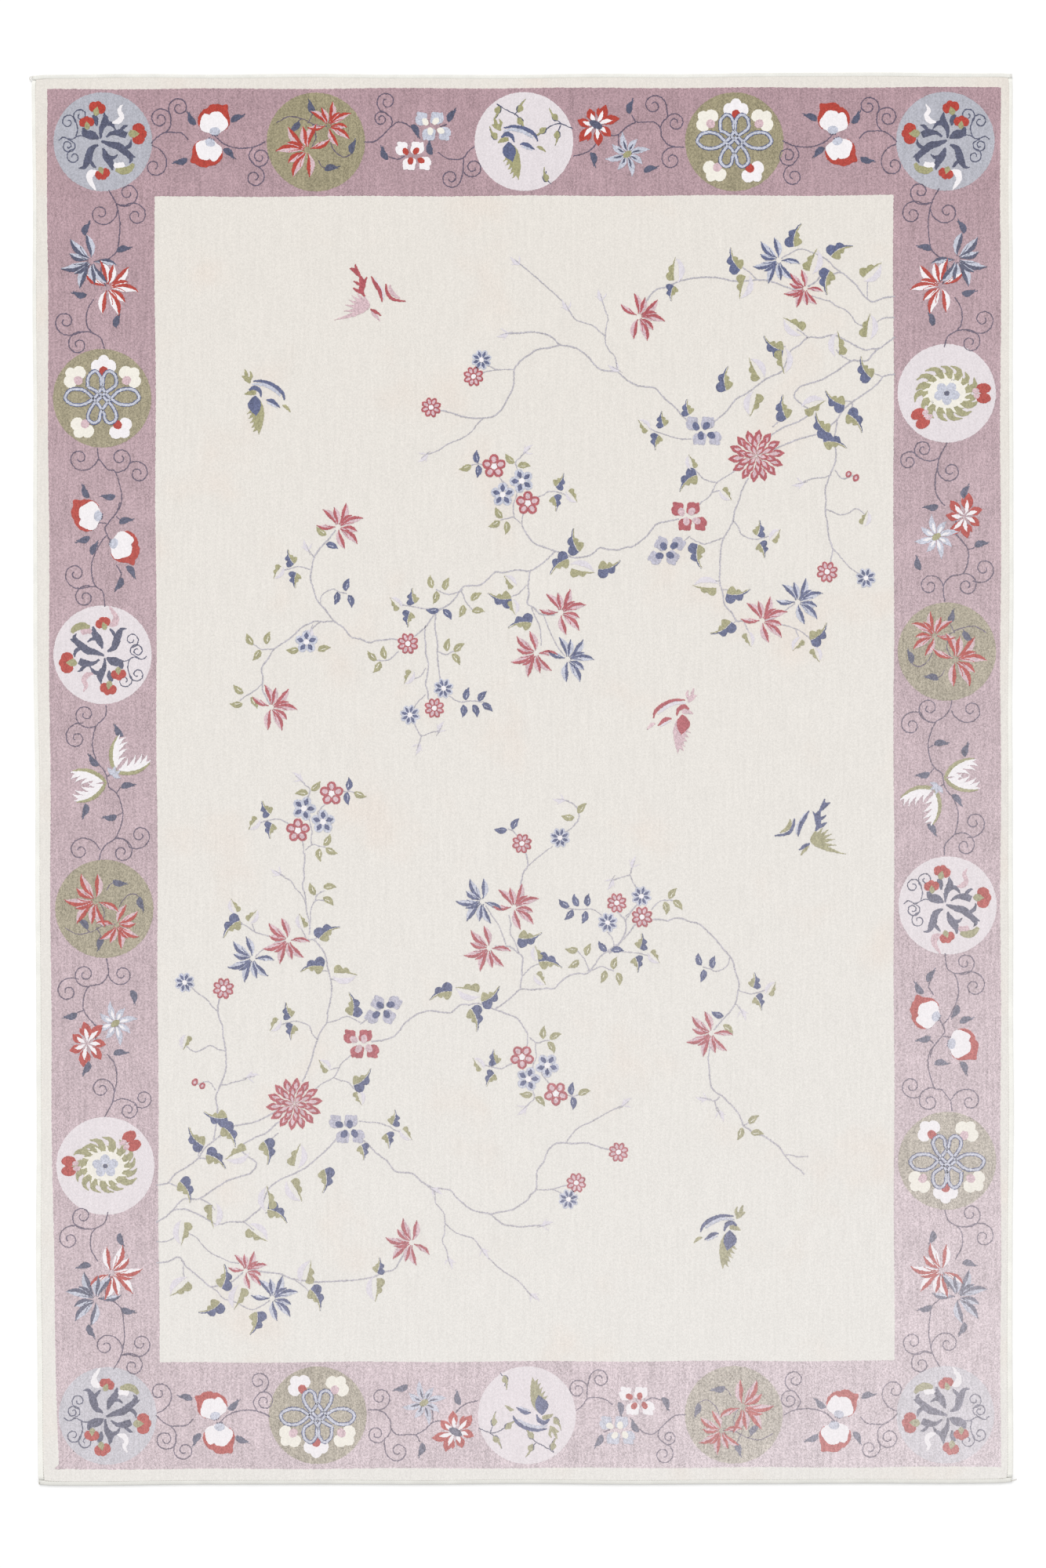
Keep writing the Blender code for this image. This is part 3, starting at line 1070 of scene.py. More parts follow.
SIDE_STAR_STRETCH = Stretch(
    routes=(
        ((-684, -289), (-681, -313), (-693, -330), (-713, -335), (-721, -353), (-720, -376), (-697, -402),
         (-679, -400)),
        ((-705, -396), (-700, -405), (-702, -421)), ((-720, -373), (-732, -377)),
        ((-684, -445), (-671, -462), (-668, -487), (-673, -513), (-676, -526), (-688, -548)),
        ((-675, -523), (-658, -518), (-639, -525)),
    ),
    scrolls=(
        (-681, -315, -659, -315, 1), (-713, -335, -719, -315, -1), (-729, -323, -747, -343, 1),
        (-672, -507, -693, -502, 1), (-639, -527, -625, -518, 1), (-639, -525, -649, -537, -1),
    ),
    leaves=((-643, -351, -80), (-742, -380, 190), (-663, -446, 0), (-719, -466, 240)),
)

# Roundels
# Middles and grounds of the roundels in one half of the border; the other half is the same turned round
Roundel = namedtuple("Roundel", "x y ground")
ROUNDELS = (
    Roundel(-684, 1039, "mist"),
    Roundel(-338, 1038, "sage"),
    Roundel(0, 1038, "chalk"),
    Roundel(342, 1037, "sage"),
    Roundel(685, 1037, "mist"),
    Roundel(-687, 623, "sage"),
    Roundel(-688, 206, "chalk"),
    Roundel(-687, -208, "sage"),
    Roundel(-687, -628, "chalk"),
)

ACANTHUS_LEAVES = (
    ((-2, 1, 2.5), (9, -3, 7), (20, -6, 9.5), (30, -14, 8), (41, -20, 1.5)),
    ((26, -9, 3), (34, -5, 5), (36, 3, 1)),
    ((30, -15, 6), (36, -22, 5), (33, -27, 1)),
    ((-3, 4, 2), (-2, 16, 6), (3, 26, 9), (2, 37, 1)),
    ((3, 24, 6), (11, 22, 5), (16, 15, 1)),
    ((-5, 4, 2), (-13, 8, 11), (-22, 11, 9), (-24, 18, 4)),
    ((-6, -4, 2), (-15, -10, 8), (-19, -22, 9.5), (-24, -32, 5), (-31, -33, 1)),
    ((-18, -22, 4), (-12, -30, 4), (-9, -33, 1)),
    ((0, -8, 2), (4, -18, 9), (10, -27, 8), (12, -36, 2)),
    ((6, -20, 5), (14, -20, 4), (19, -16, 1)),
    ((4, 6, 2), (12, 11, 5), (22, 11, 9), (30, 8, 8)),
    ((22, 13, 4), (27, 19, 4), (32, 21, 1)),
    ((-8, 20, 2), (-9, 28, 7), (-12, 34, 4)),
)
# x, y, way it points, size
ACANTHUS_BUDS = ((40, 10, 0, 1.3), (-20, 21, 95, 0.95), (-8, 39, 75, 1.05), (-2, -37, -70, 0.95))
ACANTHUS_SHAPES = (
    ("white", ((12, 24, 2), (20, 26, 7), (24, 32, 6), (21, 40, 5), (25, 47, 1))),
    ("white", ((-6, -38, 2), (-15, -40, 9), (-17, -48, 7), (-12, -57, 4), (-9, -62, 1))),
    ("white", ((14, -28, 4), (20, -31, 9), (27, -28, 6))),
    ("olive", ((16, -35, 4), (25, -37, 9), (34, -34, 8), (39, -28, 4))),
)


def red_bud(cloth, at, level):
    """A red three-lobed bud on a yellow-green foot."""
    spot(cloth, at, "brick", level, 4, 5.0, 6.0, 5.2)
    spot(cloth, at, "brick", level, 4, -5.0, 6.0, 5.2)
    spot(cloth, at, "brick", level, 6.5, 0, 5.6, 5.0)
    blade(cloth, at, "olive", level + 1, (-6, 0), (5, 0), 3.8, 3.8, 0.0, 0.4)


def acanthus(cloth, at, light, level=LEAF_LEVEL):
    """Curled leaves round a middle, with buds between them and a spray of tendrils on one side."""
    at = at.inner(0, 0, 0, CHART)
    for rows in ACANTHUS_LEAVES:
        brush(cloth, at, "slate", level, rows)
    for yarn, rows in ACANTHUS_SHAPES:
        brush(cloth, at, light if yarn == "white" else yarn, level + 1, rows)
    for x, y, turn, size in ACANTHUS_BUDS:
        red_bud(cloth, at.inner(x, y, turn, size), level + 2)
    for stem in (
        ((-20, 6), (-30, 8), (-40, 3), (-50, 6), (-56, 2)),
        ((-34, 7), (-32, 16), (-34, 25)),
        ((-44, 3), (-36, -2), (-36, -9)),
    ):
        line(cloth, at, "slate", level, stem, 1.4)
    for row in (
        (-34, 25, -44, 25, 1),
        (-34, 25, -28, 33, -1),
        (-36, -8, -44, -5, -1),
        (-36, -9, -37, -19, 1),
    ):
        scroll(cloth, at, row, "slate", 1.4, level, 1.3, 10.0)


KNOT_CURVE = (
    (-18, 16), (-17, 29), (-9, 36), (-2, 29), (0, 16), (9, 3), (23, -6), (38, -6), (47, 2), (40, 12),
    (24, 12), (11, 1), (-1, -15), (-4, -26), (-11, -30), (-18, -23), (-13, -9), (4, 8), (17, 18),
    (17, 30), (9, 36), (2, 29), (0, 16), (-9, 3), (-23, -6), (-38, -6), (-47, 2), (-40, 12),
    (-24, 12), (-11, 1), (1, -15), (4, -26), (11, -30), (18, -23), (13, -9), (-4, 8), (-18, 16),
)
# x, y, way it opens, petals, foot
KNOT_BLOSSOMS = (
    (2, 40, 90, "white", "brick"),
    (-33, 27, 135, "cream", "pink"),
    (34, 27, 45, "cream", "pink"),
    (-24, -34, 235, "cream", "pink"),
    (22, -35, -50, "white", "brick"),
)


def knot(cloth, at, level=FLOWER_LEVEL):
    """An endless knot of pale blue cord edged in navy, with five blossoms behind its loops."""
    at = at.inner(0, 0, 0, CHART)
    for x, y, turn, petals, foot in KNOT_BLOSSOMS:
        blossom = at.inner(x, y, turn)
        spot(cloth, blossom, petals, level, 2, 8.5, 8.5, 7.5)
        spot(cloth, blossom, petals, level, 2, -8.5, 8.5, 7.5)
        spot(cloth, blossom, petals, level, 7, 0, 9.5, 7.5)
        spot(cloth, blossom, foot, level + 1, -4, 0, 6.0, 5.4)
    line(cloth, at, "navy", level + 2, KNOT_CURVE, 4.8)
    line(cloth, at, "sky", level + 3, KNOT_CURVE, 2.9)


def wreath(cloth, at, level=LEAF_LEVEL):
    """An oval ring of hooked olive flames round a cream heart with a pale blue blossom, and two red buds."""
    at = at.inner(0, 0, 0, CHART)
    count = 15

    def on_oval(angle, reach):
        x, y = polar(angle, reach)
        return x, 0.86 * y

    patch(cloth, at, "olive", level + 1, oval(31, 26))
    for k in range(count):
        turn = 360.0 * k / count + cloth.chance.uniform(-4.0, 4.0)
        reach = 41.5 + cloth.chance.uniform(-2.5, 2.5)
        full = cloth.chance.uniform(7.4, 9.4)
        hook = turn + cloth.chance.uniform(17.0, 24.0)
        flame = [(*on_oval(turn - 3, 25), 8.0), (*on_oval(turn + 1, 0.78 * reach), full)]
        flame += [(*on_oval(turn + 8, 0.92 * reach), 0.62 * full), (*on_oval(hook, reach), 0.9)]
        brush(cloth, at, "olive", level + 2, flame)
        notch = [(*on_oval(turn + 9, 20), 4.4), (*on_oval(turn + 12, 26), 3.0)]
        notch += [(*on_oval(turn + 16, 31), 0.9)]
        brush(cloth, at, "cream", level + 3, notch)
    patch(cloth, at, "cream", level + 3, oval(24, 19))
    for k in range(5):
        x, y = polar(72.0 * k + 20.0, 9.0)
        patch(cloth, at.inner(1.15 * x, 0.92 * y, 72.0 * k + 20.0), "sky", level + 4, oval(6.6, 6.0))
    spot(cloth, at, "slate", level + 5, 0, 0, 3.4, 3.0)
    for x, y, turn, size in ((30, 30, 28, 1.3), (-43, 0, 180, 1.25)):
        bud = at.inner(x, y, turn, size)
        spot(cloth, bud, "brick", level + 3, 3, 5.0, 7.4, 5.2)
        spot(cloth, bud, "brick", level + 3, 3, -5.0, 7.4, 5.2)
        spot(cloth, bud, "pink", level + 4, -5, 2.6, 3.8, 2.6)
        spot(cloth, bud, "pink", level + 4, -4, -2.8, 3.4, 2.4)


def spider_roundel(cloth, at):
    """Two spider flowers on fine stems, with five slate leaves."""
    for route in (
        ((-64, 31), (-44, 41), (-20, 37), (-3, 28), (18, 25)),
        ((-13, 30), (-6, 44), (-2, 54)),
        ((-34, 25), (-26, 36), (-22, 38)),
        ((-5, 28), (0, 8), (-6, -8)),
        ((24, -2), (30, -14), (43, -24), (55, -21), (60, -13)),
        ((4, -30), (10, -40), (20, -44)),
    ):
        line(cloth, at, "vine", VINE_LEVEL, route, 1.5)
    spider_flower(cloth, at.inner(-14, -13, 186, hand=-1), 45, "brick", "pink")
    spider_flower(cloth, at.inner(20, 26, 24), 37, "brick", "pink")
    for x, y, turn in ((-4, 56, 108), (-35, 27, 222), (62, -10, 70), (24, -45, 6)):
        border_leaf(cloth, at.inner(x, y, turn))


# Brush strokes of a bird gliding, and of one turning: the yarn's part, then x, y and width
GLIDING_BIRD = (
    ("dark", ((-11, 29, 1.5), (2, 30, 3.6), (16, 26, 4.6), (27, 18, 4.2), (31, 9, 1.2))),
    ("light", ((-12, 25, 1.5), (2, 26, 4.2), (15, 21.5, 4.4), (25, 14, 2.4))),
    ("dark", ((-15, 17, 2), (-9, 21, 5.5), (-2, 18, 5), (1, 10, 1.4))),
    ("wing", ((-20, 11, 1.2), (-13, 14, 6), (-6, 14.5, 4.5))),
    ("wing", ((-15, 26, 2), (-19, 31, 7), (-26, 34, 1))),
    ("wing", ((-18, 28, 4), (-21, 37, 4), (-23, 43, 1))),
    ("wing", ((-16, 29, 3), (-14, 36, 3.4), (-16, 41, 1))),
    ("dark", ((8, 7, 1.2), (16, 6, 5.4), (26, -1, 1.2))),
    ("light", ((9, 4, 1), (17, 1.5, 3.4), (23, -2, 1))),
    ("wing", ((29, 2, 1.2), (34, 0.5, 4.4), (40, -5, 1))),
)
Wing = namedtuple("Wing", "x y tip_x tip_y dark_share width feathers")
GLIDING_WING = Wing(-6, 9, 3, -38, 0.50, 12.5, 5)
TURNING_BIRD = (
    ("dark", ((3, 23, 1.2), (8, 14, 4.4), (14, 4, 5.0), (17, -10, 1.2))),
    ("light", ((8, 20, 1.2), (12, 11, 4.4), (18, 2, 3.0), (19, -7, 1))),
    ("dark", ((22, 13, 1.5), (23, 4, 3.6), (30, -6, 3.8), (47, -9, 1.4))),
    ("wing", ((27, 12, 1.5), (28, 4, 5.4), (34, -2, 4.0), (40, -5, 1))),
    ("dark", ((2, -19, 1.2), (8, -22, 4.2), (16, -27, 1.2))),
    ("wing", ((3, -22, 1), (8, -27, 4), (14, -34, 1))),
    ("dark", ((-24, 33, 1), (-18, 30, 5), (-11, 22, 2))),
    ("dark", ((-17, 38, 1), (-15, 31, 4), (-11, 24, 2))),
    ("dark", ((-11, 24, 1.5), (-8, 14, 8), (-9, 4, 6), (-5, -3, 1.4))),
    ("dark", ((-19, 17, 1), (-13, 13, 4), (-8, 12, 3))),
    ("dark", ((-20, 8, 1), (-13, 4, 4.6), (-7, 1, 2))),
    ("dark", ((-2, 22, 1), (-5, 16, 3.4), (-7, 10, 2))),
)
# turn, reach and width of each tail feather
TURNING_FEATHERS = (
    (200, 48, 3.0), (189, 33, 3.0), (175, 31, 3.0), (161, 28, 3.2), (147, 27, 3.2), (132, 23, 3.0),
    (116, 17, 2.6),
)


def feathered_wing(cloth, at, wing, dark, soft, level):
    """A long wing, dark at its shoulder, with feather tips standing out along one side."""
    length = math.hypot(wing.tip_x - wing.x, wing.tip_y - wing.y)
    turn = math.degrees(math.atan2(wing.tip_y - wing.y, wing.tip_x - wing.x))
    arm = at.inner(wing.x, wing.y, turn)
    half = wing.width / 2
    blade(cloth, arm, soft, level, (0, 0), (length, 0), half * 1.1, half * 1.5, 0.05, 0.35)
    for k in range(wing.feathers):
        along = length * (0.16 + 0.62 * k / wing.feathers)
        tip = (along + length * 0.26, -wing.width * (1.02 - 0.12 * k))
        blade(cloth, arm, soft, level, (along, 0), tip, 2.6, 2.2, 0.10, 0.4)
    shoulder = (length * wing.dark_share, -1.5)
    blade(cloth, arm, dark, level + 1, (-2, 0), shoulder, half * 1.1, half * 1.6, 0.0, 0.45)


def bird(cloth, at, dark, soft, light, turning=False, level=FLOWER_LEVEL):
    """A small bird in flight, drawn in separate feathers with bare ground between them."""
    at = at.inner(0, 0, 0, CHART)
    yarns = {"dark": dark, "wing": soft, "light": light}
    for part, rows in TURNING_BIRD if turning else GLIDING_BIRD:
        brush(cloth, at, yarns[part], level + (part == "dark"), rows)
    if turning:
        for turn, reach, wide in TURNING_FEATHERS:
            tip_x, tip_y = polar(turn, reach)
            blade(cloth, at, soft, level, (1, -16), (1 + tip_x, -16 + tip_y), wide, wide, 0.04, 0.30)
    else:
        feathered_wing(cloth, at, GLIDING_WING, dark, soft, level + 1)


def bird_roundel(cloth, at):
    """A bird between two leafy twigs."""
    for route in (
        ((-44, 61), (-28, 51), (-13, 43), (-6, 34), (0, 17)),
        ((-42, 60), (-40, 48), (-46, 38)),
        ((-15, 44), (-9, 50)),
        ((79, 21), (61, 28), (48, 27), (33, 18)),
        ((61, 28), (50, 38)),
        ((60, 27), (53, 10)),
        ((44, -69), (36, -60), (36, -48)),
    ):
        line(cloth, at, "slate", VINE_LEVEL, route, 1.7)
    for x, y, turn in (
        (-45, 47, -112), (-3, 57, 60), (-5, 28, -62), (49, 44, 122), (26, 16, 215), (52, 6, -100),
        (36, -54, 98), (-49, 14, 118),
    ):
        leaf = at.inner(x, y, turn, 0.78)
        dark = lobed(SMALL_LOBES[0], 0.4)
        light = lobed(SMALL_LOBES[1], 0.5)
        blade(cloth, leaf, "slate", VINE_LEVEL + 1, (-15, 0), (17, 1), 6.0, -1, 0.1, shape=dark)
        blade(cloth, leaf, "olive", VINE_LEVEL + 2, (-15, 0), (16, 1), 4.4, 9.0, 0.1, shape=light)
    bird(cloth, at.inner(-16, -14, 4, 1.0), "navy", "olive", "sky")


# The field
# A sprig's leaves are x, y, turn and hand, or x, y and turn; its flowers x, y, turn, reach and yarn; its
# four-petalled flowers x, y, turn and yarn; its berries x, y and reach; its boughs and twigs are routes
Sprig = namedtuple(
    "Sprig",
    "large half bract small olive navy spiders eights fives fours mums berries boughs twigs buds",
    defaults=((),) * 15,
)
# The spray that grows from the right edge into the upper field. The lower field has its twin.
SPRAY = Sprig(
    large=(
        (345, 848, 110, 1), (446, 885, 68, 1), (517, 858, 20, 1), (496, 808, -93, -1), (406, 711, 140, 1),
        (557, 671, 112, 1), (331, 653, 82, 1), (425, 607, 95, 1), (506, 622, 140, 1), (485, 581, 118, 1),
        (536, 579, -55, 1), (505, 543, -18, 1), (267, 482, 228, -1), (286, 364, -78, -1),
        (347, 308, 15, -1), (85, 391, 100, 1), (57, 347, 225, -1), (137, 352, 25, -1), (-41, 302, 162, 1),
        (-8, 251, 196, -1), (318, 249, 205, 1), (477, 242, 50, -1),
    ),
    half=(
        (248, 830, 80, 1), (359, 801, -98, -1), (473, 843, 65, 1), (567, 825, 32, 1), (563, 737, 75, 1),
        (436, 737, 152, -1), (507, 709, 100, -1), (378, 670, 112, 1), (424, 681, -78, -1),
        (369, 612, -112, 1), (470, 612, 30, -1), (294, 318, 168, 1), (94, 345, -5, -1),
    ),
    bract=(
        (269, 517, 115, -1), (327, 463, -55, 1), (407, 399, 60, -1), (195, 578, 125, 1),
        (-24, 325, 125, 1), (-17, 282, -70, -1), (-210, 290, 125, 1), (-401, 339, -115, -1),
        (366, 229, -65, -1), (442, 221, 225, 1), (476, 204, -60, -1), (556, 425, 65, 1),
    ),
    small=(
        (267, 607, 95, 1), (226, 588, 95, 1), (216, 549, -97, -1), (242, 791, -95, -1),
        (379, 410, 85, -1), (385, 373, -75, 1), (-380, 365, 110, 1), (-372, 326, -90, -1),
        (-181, 301, 95, 1), (-188, 262, -95, -1),
    ),
    olive=(
        (-331, 407, 140), (-152, 324, 100), (-127, 320, 70), (-147, 298, -105), (-79, 299, 35),
        (-104, 276, -110), (-76, 275, 0), (-249, 204, 135), (-229, 209, 100), (-242, 185, 235),
    ),
    navy=(
        (-314, 381, -20), (-289, 319, 75), (-308, 297, -100), (-285, 292, -75), (-151, 278, 180),
        (-127, 270, -50),
    ),
    spiders=(
        (414, 845, 190, 34, "navy"), (457, 799, 190, 28, "rose"), (186, 754, -15, 34, "rose"),
        (386, 259, 15, 34, "rose"), (444, 289, 15, 34, "navy"), (-304, 413, 15, 34, "rose"),
        (58, 273, 12, 34, "rose"), (18, 207, 195, 34, "rose"), (69, 197, -5, 34, "navy"),
    ),
    eights=(
        (-70, 684, 0, 16, "navy"), (-83, 657, 8, 16, "rose"), (-152, 607, 0, 16, "rose"),
        (-191, 223, 5, 17, "rose"), (492, 338, 0, 17, "rose"), (555, 328, 9, 16, "navy"),
    ),
    fours=((267, 429, 0, "rose"), (291, 568, 0, "dusk"), (231, 373, 65, "dusk")),
    mums=((377, 527),),
    berries=((527, 497, 5.6), (539, 491, 6.2)),
    boughs=(
        ((603, 786), (566, 777), (540, 804), (515, 825), (484, 820), (461, 802)),
        ((454, 797), (424, 802), (380, 813), (311, 817), (252, 811), (214, 797), (187, 761)),
        ((603, 720), (576, 701), (553, 699), (504, 723), (461, 719), (433, 697), (418, 664), (378, 641),
         (344, 619), (305, 580)),
        ((576, 701), (558, 682), (532, 681), (486, 652), (448, 639), (439, 624), (466, 598), (423, 574),
         (387, 548)),
        ((603, 659), (583, 655), (566, 637), (534, 615), (509, 587), (481, 564), (402, 536)),
        ((275, 579), (244, 607), (213, 637), (183, 642), (151, 665)),
        ((151, 665), (122, 669), (104, 688), (89, 700), (58, 708), (36, 725), (9, 729), (-29, 727)),
        ((58, 708), (22, 701), (-3, 685), (-17, 668), (-19, 638), (-37, 604), (-52, 592), (-101, 592),
         (-144, 604)),
        ((364, 491), (348, 453), (339, 422), (323, 392), (318, 361), (317, 323), (325, 285), (345, 259),
         (381, 259)),
        ((509, 587), (504, 555), (505, 516), (489, 472), (489, 437), (494, 399), (501, 376), (496, 348)),
        ((251, 425), (215, 417), (198, 397), (175, 380), (152, 375), (121, 378), (103, 365), (77, 363),
         (49, 373)),
        ((49, 373), (8, 341), (-27, 340), (-48, 339), (-73, 318), (-101, 315), (-122, 288), (-149, 269),
         (-181, 234)),
        ((-201, 228), (-232, 229), (-255, 225), (-283, 234), (-312, 261), (-338, 293), (-349, 332),
         (-344, 362), (-328, 385), (-308, 408)),
        ((49, 373), (14, 387), (-4, 413)), ((8, 341), (5, 318), (4, 288), (24, 271), (49, 270)),
    ),
    twigs=(
        ((515, 825), (493, 845), (449, 863), (418, 848)), ((377, 815), (353, 835)),
        ((468, 787), (497, 778), (520, 765), (540, 743), (558, 735)),
        ((603, 751), (586, 751), (571, 743)), ((558, 783), (558, 809)), ((461, 719), (443, 733)),
        ((425, 705), (410, 703)), ((532, 681), (515, 690), (507, 700)), ((583, 655), (566, 662)),
        ((534, 615), (520, 616)), ((534, 612), (530, 593)), ((435, 601), (429, 593), (403, 574)),
        ((151, 665), (147, 689), (133, 707), (132, 728), (136, 751), (126, 782)),
        ((133, 721), (112, 739), (85, 748), (71, 767), (40, 799), (-9, 841)),
        ((-17, 668), (-44, 668), (-65, 678)), ((-44, 668), (-75, 660)),
        ((-67, 590), (-88, 566), (-124, 548), (-161, 530)),
        ((346, 506), (313, 484), (300, 461), (277, 440)), ((313, 484), (290, 491), (274, 507)),
        ((305, 468), (318, 471)), ((339, 422), (353, 399), (371, 392), (399, 397)),
        ((323, 394), (293, 384), (269, 394)), ((269, 397), (246, 382)), ((317, 323), (305, 325)),
        ((320, 310), (335, 309)), ((391, 259), (417, 269), (440, 287)),
        ((501, 376), (519, 356), (547, 333)), ((499, 496), (476, 491), (451, 483)),
        ((505, 504), (517, 490), (535, 495)), ((489, 440), (514, 431), (540, 441), (553, 432)),
        ((272, 555), (241, 558), (223, 564), (203, 573)),
        ((-334, 288), (-330, 303), (-313, 312), (-290, 305)), ((-348, 343), (-367, 349), (-395, 342)),
        ((-344, 365), (-353, 377)), ((31, 267), (44, 234), (64, 203)), ((10, 281), (24, 249), (26, 219)),
        ((3, 318), (-12, 303), (-27, 298)), ((-105, 311), (-96, 290), (-84, 276)),
        ((-101, 311), (-124, 303), (-145, 311)), ((-132, 280), (-165, 280), (-204, 287)),
        ((-206, 211), (-224, 196), (-242, 196)), ((345, 259), (333, 251)), ((357, 256), (364, 241)),
        ((412, 254), (440, 246), (461, 232), (474, 219)), ((440, 246), (445, 233)),
        ((461, 232), (472, 239)),
    ),
    buds=(
        (-9, 841, 140), (71, 767, 120), (126, 782, 105), (-29, 727, 195), (-161, 530, 220),
        (451, 483, 190), (-353, 377, 110), (151, 668, 150),
    ),
)
# Four daisies on a short stem, with their leaves
CLUSTER = Sprig(
    bract=((76, 461, -58, 1),),
    small=((56, 489, 62, -1), (48, 450, -85, 1)),
    olive=(
        (-24, 524, 135), (-1, 511, 0), (-42, 436, 120), (-50, 418, 205), (-31, 411, -95), (-97, 510, 200),
    ),
    navy=((-77, 527, 95), (-77, 503, -95)),
    fives=(
        (-50, 511, 0, 19, "rose"), (5, 451, 0, 19, "rose"), (-5, 487, 20, 19, "navy"),
        (-36, 465, 0, 19, "navy"),
    ),
    twigs=(
        ((-4, 413), (-2, 438)), ((-7, 419), (-19, 428), (-40, 424)), ((-17, 428), (-18, 451), (-12, 474)),
        ((-45, 499), (-27, 479), (-31, 471)), ((-9, 499), (-15, 517), (1, 534)),
        ((19, 461), (39, 470), (67, 464)), ((-93, 511), (-78, 515), (-63, 513)),
    ),
    buds=((1, 534, 40),),
)
# Three small daisies and a row of navy leaves
TRIO = Sprig(
    navy=((-94, 141, 75), (-69, 137, 50), (-102, 113, -95), (-82, 113, -70), (-62, 118, -35)),
    eights=((-133, 150, 0, 16, "navy"), (-188, 107, 12, 16, "navy"), (-148, 118, 5, 16, "rose")),
    twigs=(
        ((-162, 140), (-176, 127), (-184, 114)), ((-124, 138), (-107, 128), (-66, 127)),
        ((-181, 94), (-169, 73), (-140, 81)), ((-169, 73), (-174, 58)),
    ),
    buds=((-174, 58, 250), (-140, 81, 60)),
)
# What only the upper field has
UPPER_SHOOTS = Sprig(
    bract=((-189, 167, -115, -1),),
    olive=(
        (-125, 221, 80), (-107, 216, 40), (-113, 197, -55), (-448, 231, 120), (-418, 233, 75),
        (-438, 205, 235), (-379, 214, 185), (-327, 214, 15), (-467, 150, 140), (-471, 126, 180),
        (-442, 127, -60),
    ),
    spiders=((-414, 120, -10, 34, "rose"),),
    fives=((-356, 226, 0, 18, "navy"),),
    boughs=(
        ((-312, 260), (-342, 260), (-362, 251), (-408, 215), (-429, 184), (-428, 150), (-416, 125)),
        ((-145, 271), (-146, 243), (-143, 205), (-138, 163)),
        ((-162, 253), (-162, 221), (-158, 192), (-162, 158), (-158, 132)),
    ),
    twigs=(
        ((-162, 183), (-171, 170), (-184, 165)), ((-144, 211), (-130, 205), (-109, 214)),
        ((-408, 215), (-429, 214), (-444, 224)), ((-429, 158), (-447, 143), (-465, 131)),
        ((-331, 260), (-349, 245)),
    ),
    buds=((-349, 245, 250),),
)
# What only the lower field has
LOWER_SHOOTS = Sprig(
    olive=(
        (-347, -176, 115), (-319, -174, 2), (-322, -197, -35), (69, -59, 175), (93, -46, 50),
        (372, -555, 40), (348, -578, 250), (377, -578, -4),
    ),
    navy=((-41, -80, 178), (-16, -71, 58)),
    eights=((-6, -103, 0, 16, "rose"), (56, -94, 8, 16, "navy")),
    boughs=(
        ((-360, -118), (-362, -144), (-364, -172), (-359, -200), (-354, -226), (-353, -251)),
        ((-15, -193), (-8, -170), (-4, -151), (3, -140), (2, -124), (-2, -116)),
        ((299, -426), (297, -455), (299, -480), (303, -503), (321, -517), (338, -534), (349, -550),
         (354, -565)),
        ((354, -565), (372, -578), (395, -586), (413, -600), (423, -615), (436, -630), (454, -645)),
        ((149, -215), (162, -229), (162, -249), (153, -266), (136, -283)),
    ),
    twigs=(
        ((-357, -208), (-366, -185), (-383, -163), (-401, -151)),
        ((-353, -242), (-351, -213), (-343, -196), (-328, -195)),
        ((-343, -196), (-340, -186), (-328, -179)), ((3, -140), (22, -124), (44, -108)),
        ((-13, -92), (-20, -83), (-29, -79)),
        ((65, -85), (79, -74), (87, -61), (85, -47), (75, -37), (61, -32)),
        ((133, -248), (142, -260), (144, -275)), ((423, -612), (444, -616), (460, -615)),
        ((315, -517), (308, -524), (290, -520)), ((308, -524), (311, -538), (316, -546)),
        ((185, -200), (173, -212), (162, -229)), ((354, -565), (364, -559)),
    ),
    buds=((-401, -151, 150), (61, -32, 170), (293, -520, 170), (315, -543, -70)),
)
# Each sprig and where it is laid. RUG leaves it where its own table puts it
LOWER_SPRAY = Place(-1.5, -0.5, 180.0)
LAYOUT = (
    (SPRAY, RUG),
    (SPRAY, LOWER_SPRAY),
    (CLUSTER, RUG),
    (CLUSTER, LOWER_SPRAY),
    (CLUSTER, Place(-366.0, -532.0, 180.0, hand=-1)),
    (TRIO, RUG),
    (TRIO, Place(0.5, -82.5, 180.0)),
    (UPPER_SHOOTS, RUG),
    (LOWER_SHOOTS, RUG),
)
# How much larger the field's spider flowers are drawn, and the size of the drops in its four petals
FIELD_SPIDER_SIZE = 1.12
FIELD_DROP_SIZE = 5.2
# x, y, turn, hand, dark, soft and light yarns, and whether it turns
BIRDS = (
    (-253, 791, 0, 1, "rose", "pink", "lilac", True),
    (-431, 612, -6, 1, "navy", "olive", "sky", False),
    (249, 92, 184, -1, "rose", "pink", "lilac", False),
    (466, -80, 180, -1, "navy", "olive", "sky", True),
    (324, -750, 180, -1, "navy", "olive", "sky", False),
)


# Widths of the branches, and their knees: from what length on, and how far as a share of that length
BOUGH_WIDTH = 2.3
TWIG_WIDTH = 1.7
KNEE_FROM = 20
KNEE = 0.07


def wander(cloth, route):
    """A route with knees: each long stretch strays a little to one side at its middle."""
    result = [route[0]]
    for (ax, ay), (bx, by) in zip(route, route[1:]):
        length = math.hypot(bx - ax, by - ay)
        if length > KNEE_FROM:
            off = cloth.chance.uniform(-KNEE, KNEE)
            result.append((0.5 * (ax + bx) - off * (by - ay), 0.5 * (ay + by) + off * (bx - ax)))
        result.append((bx, by))
    return result


def bud_tip(cloth, at, level=VINE_LEVEL):
    """A bare twig's tip with a pale bud and a few pale hairs."""
    blade(cloth, at, "lilac", level, (-4, 0), (17, 1), 3.4, 3.0, 0.08, 0.4)
    for turn in (-55, 50):
        blade(cloth, at, "lilac", level, (-2, 0), polar(turn, 12), 1.2, 1.2)
    blade(cloth, at, "twig", level + 1, (-10, 0), (10, 0), 0.8, 0.8)


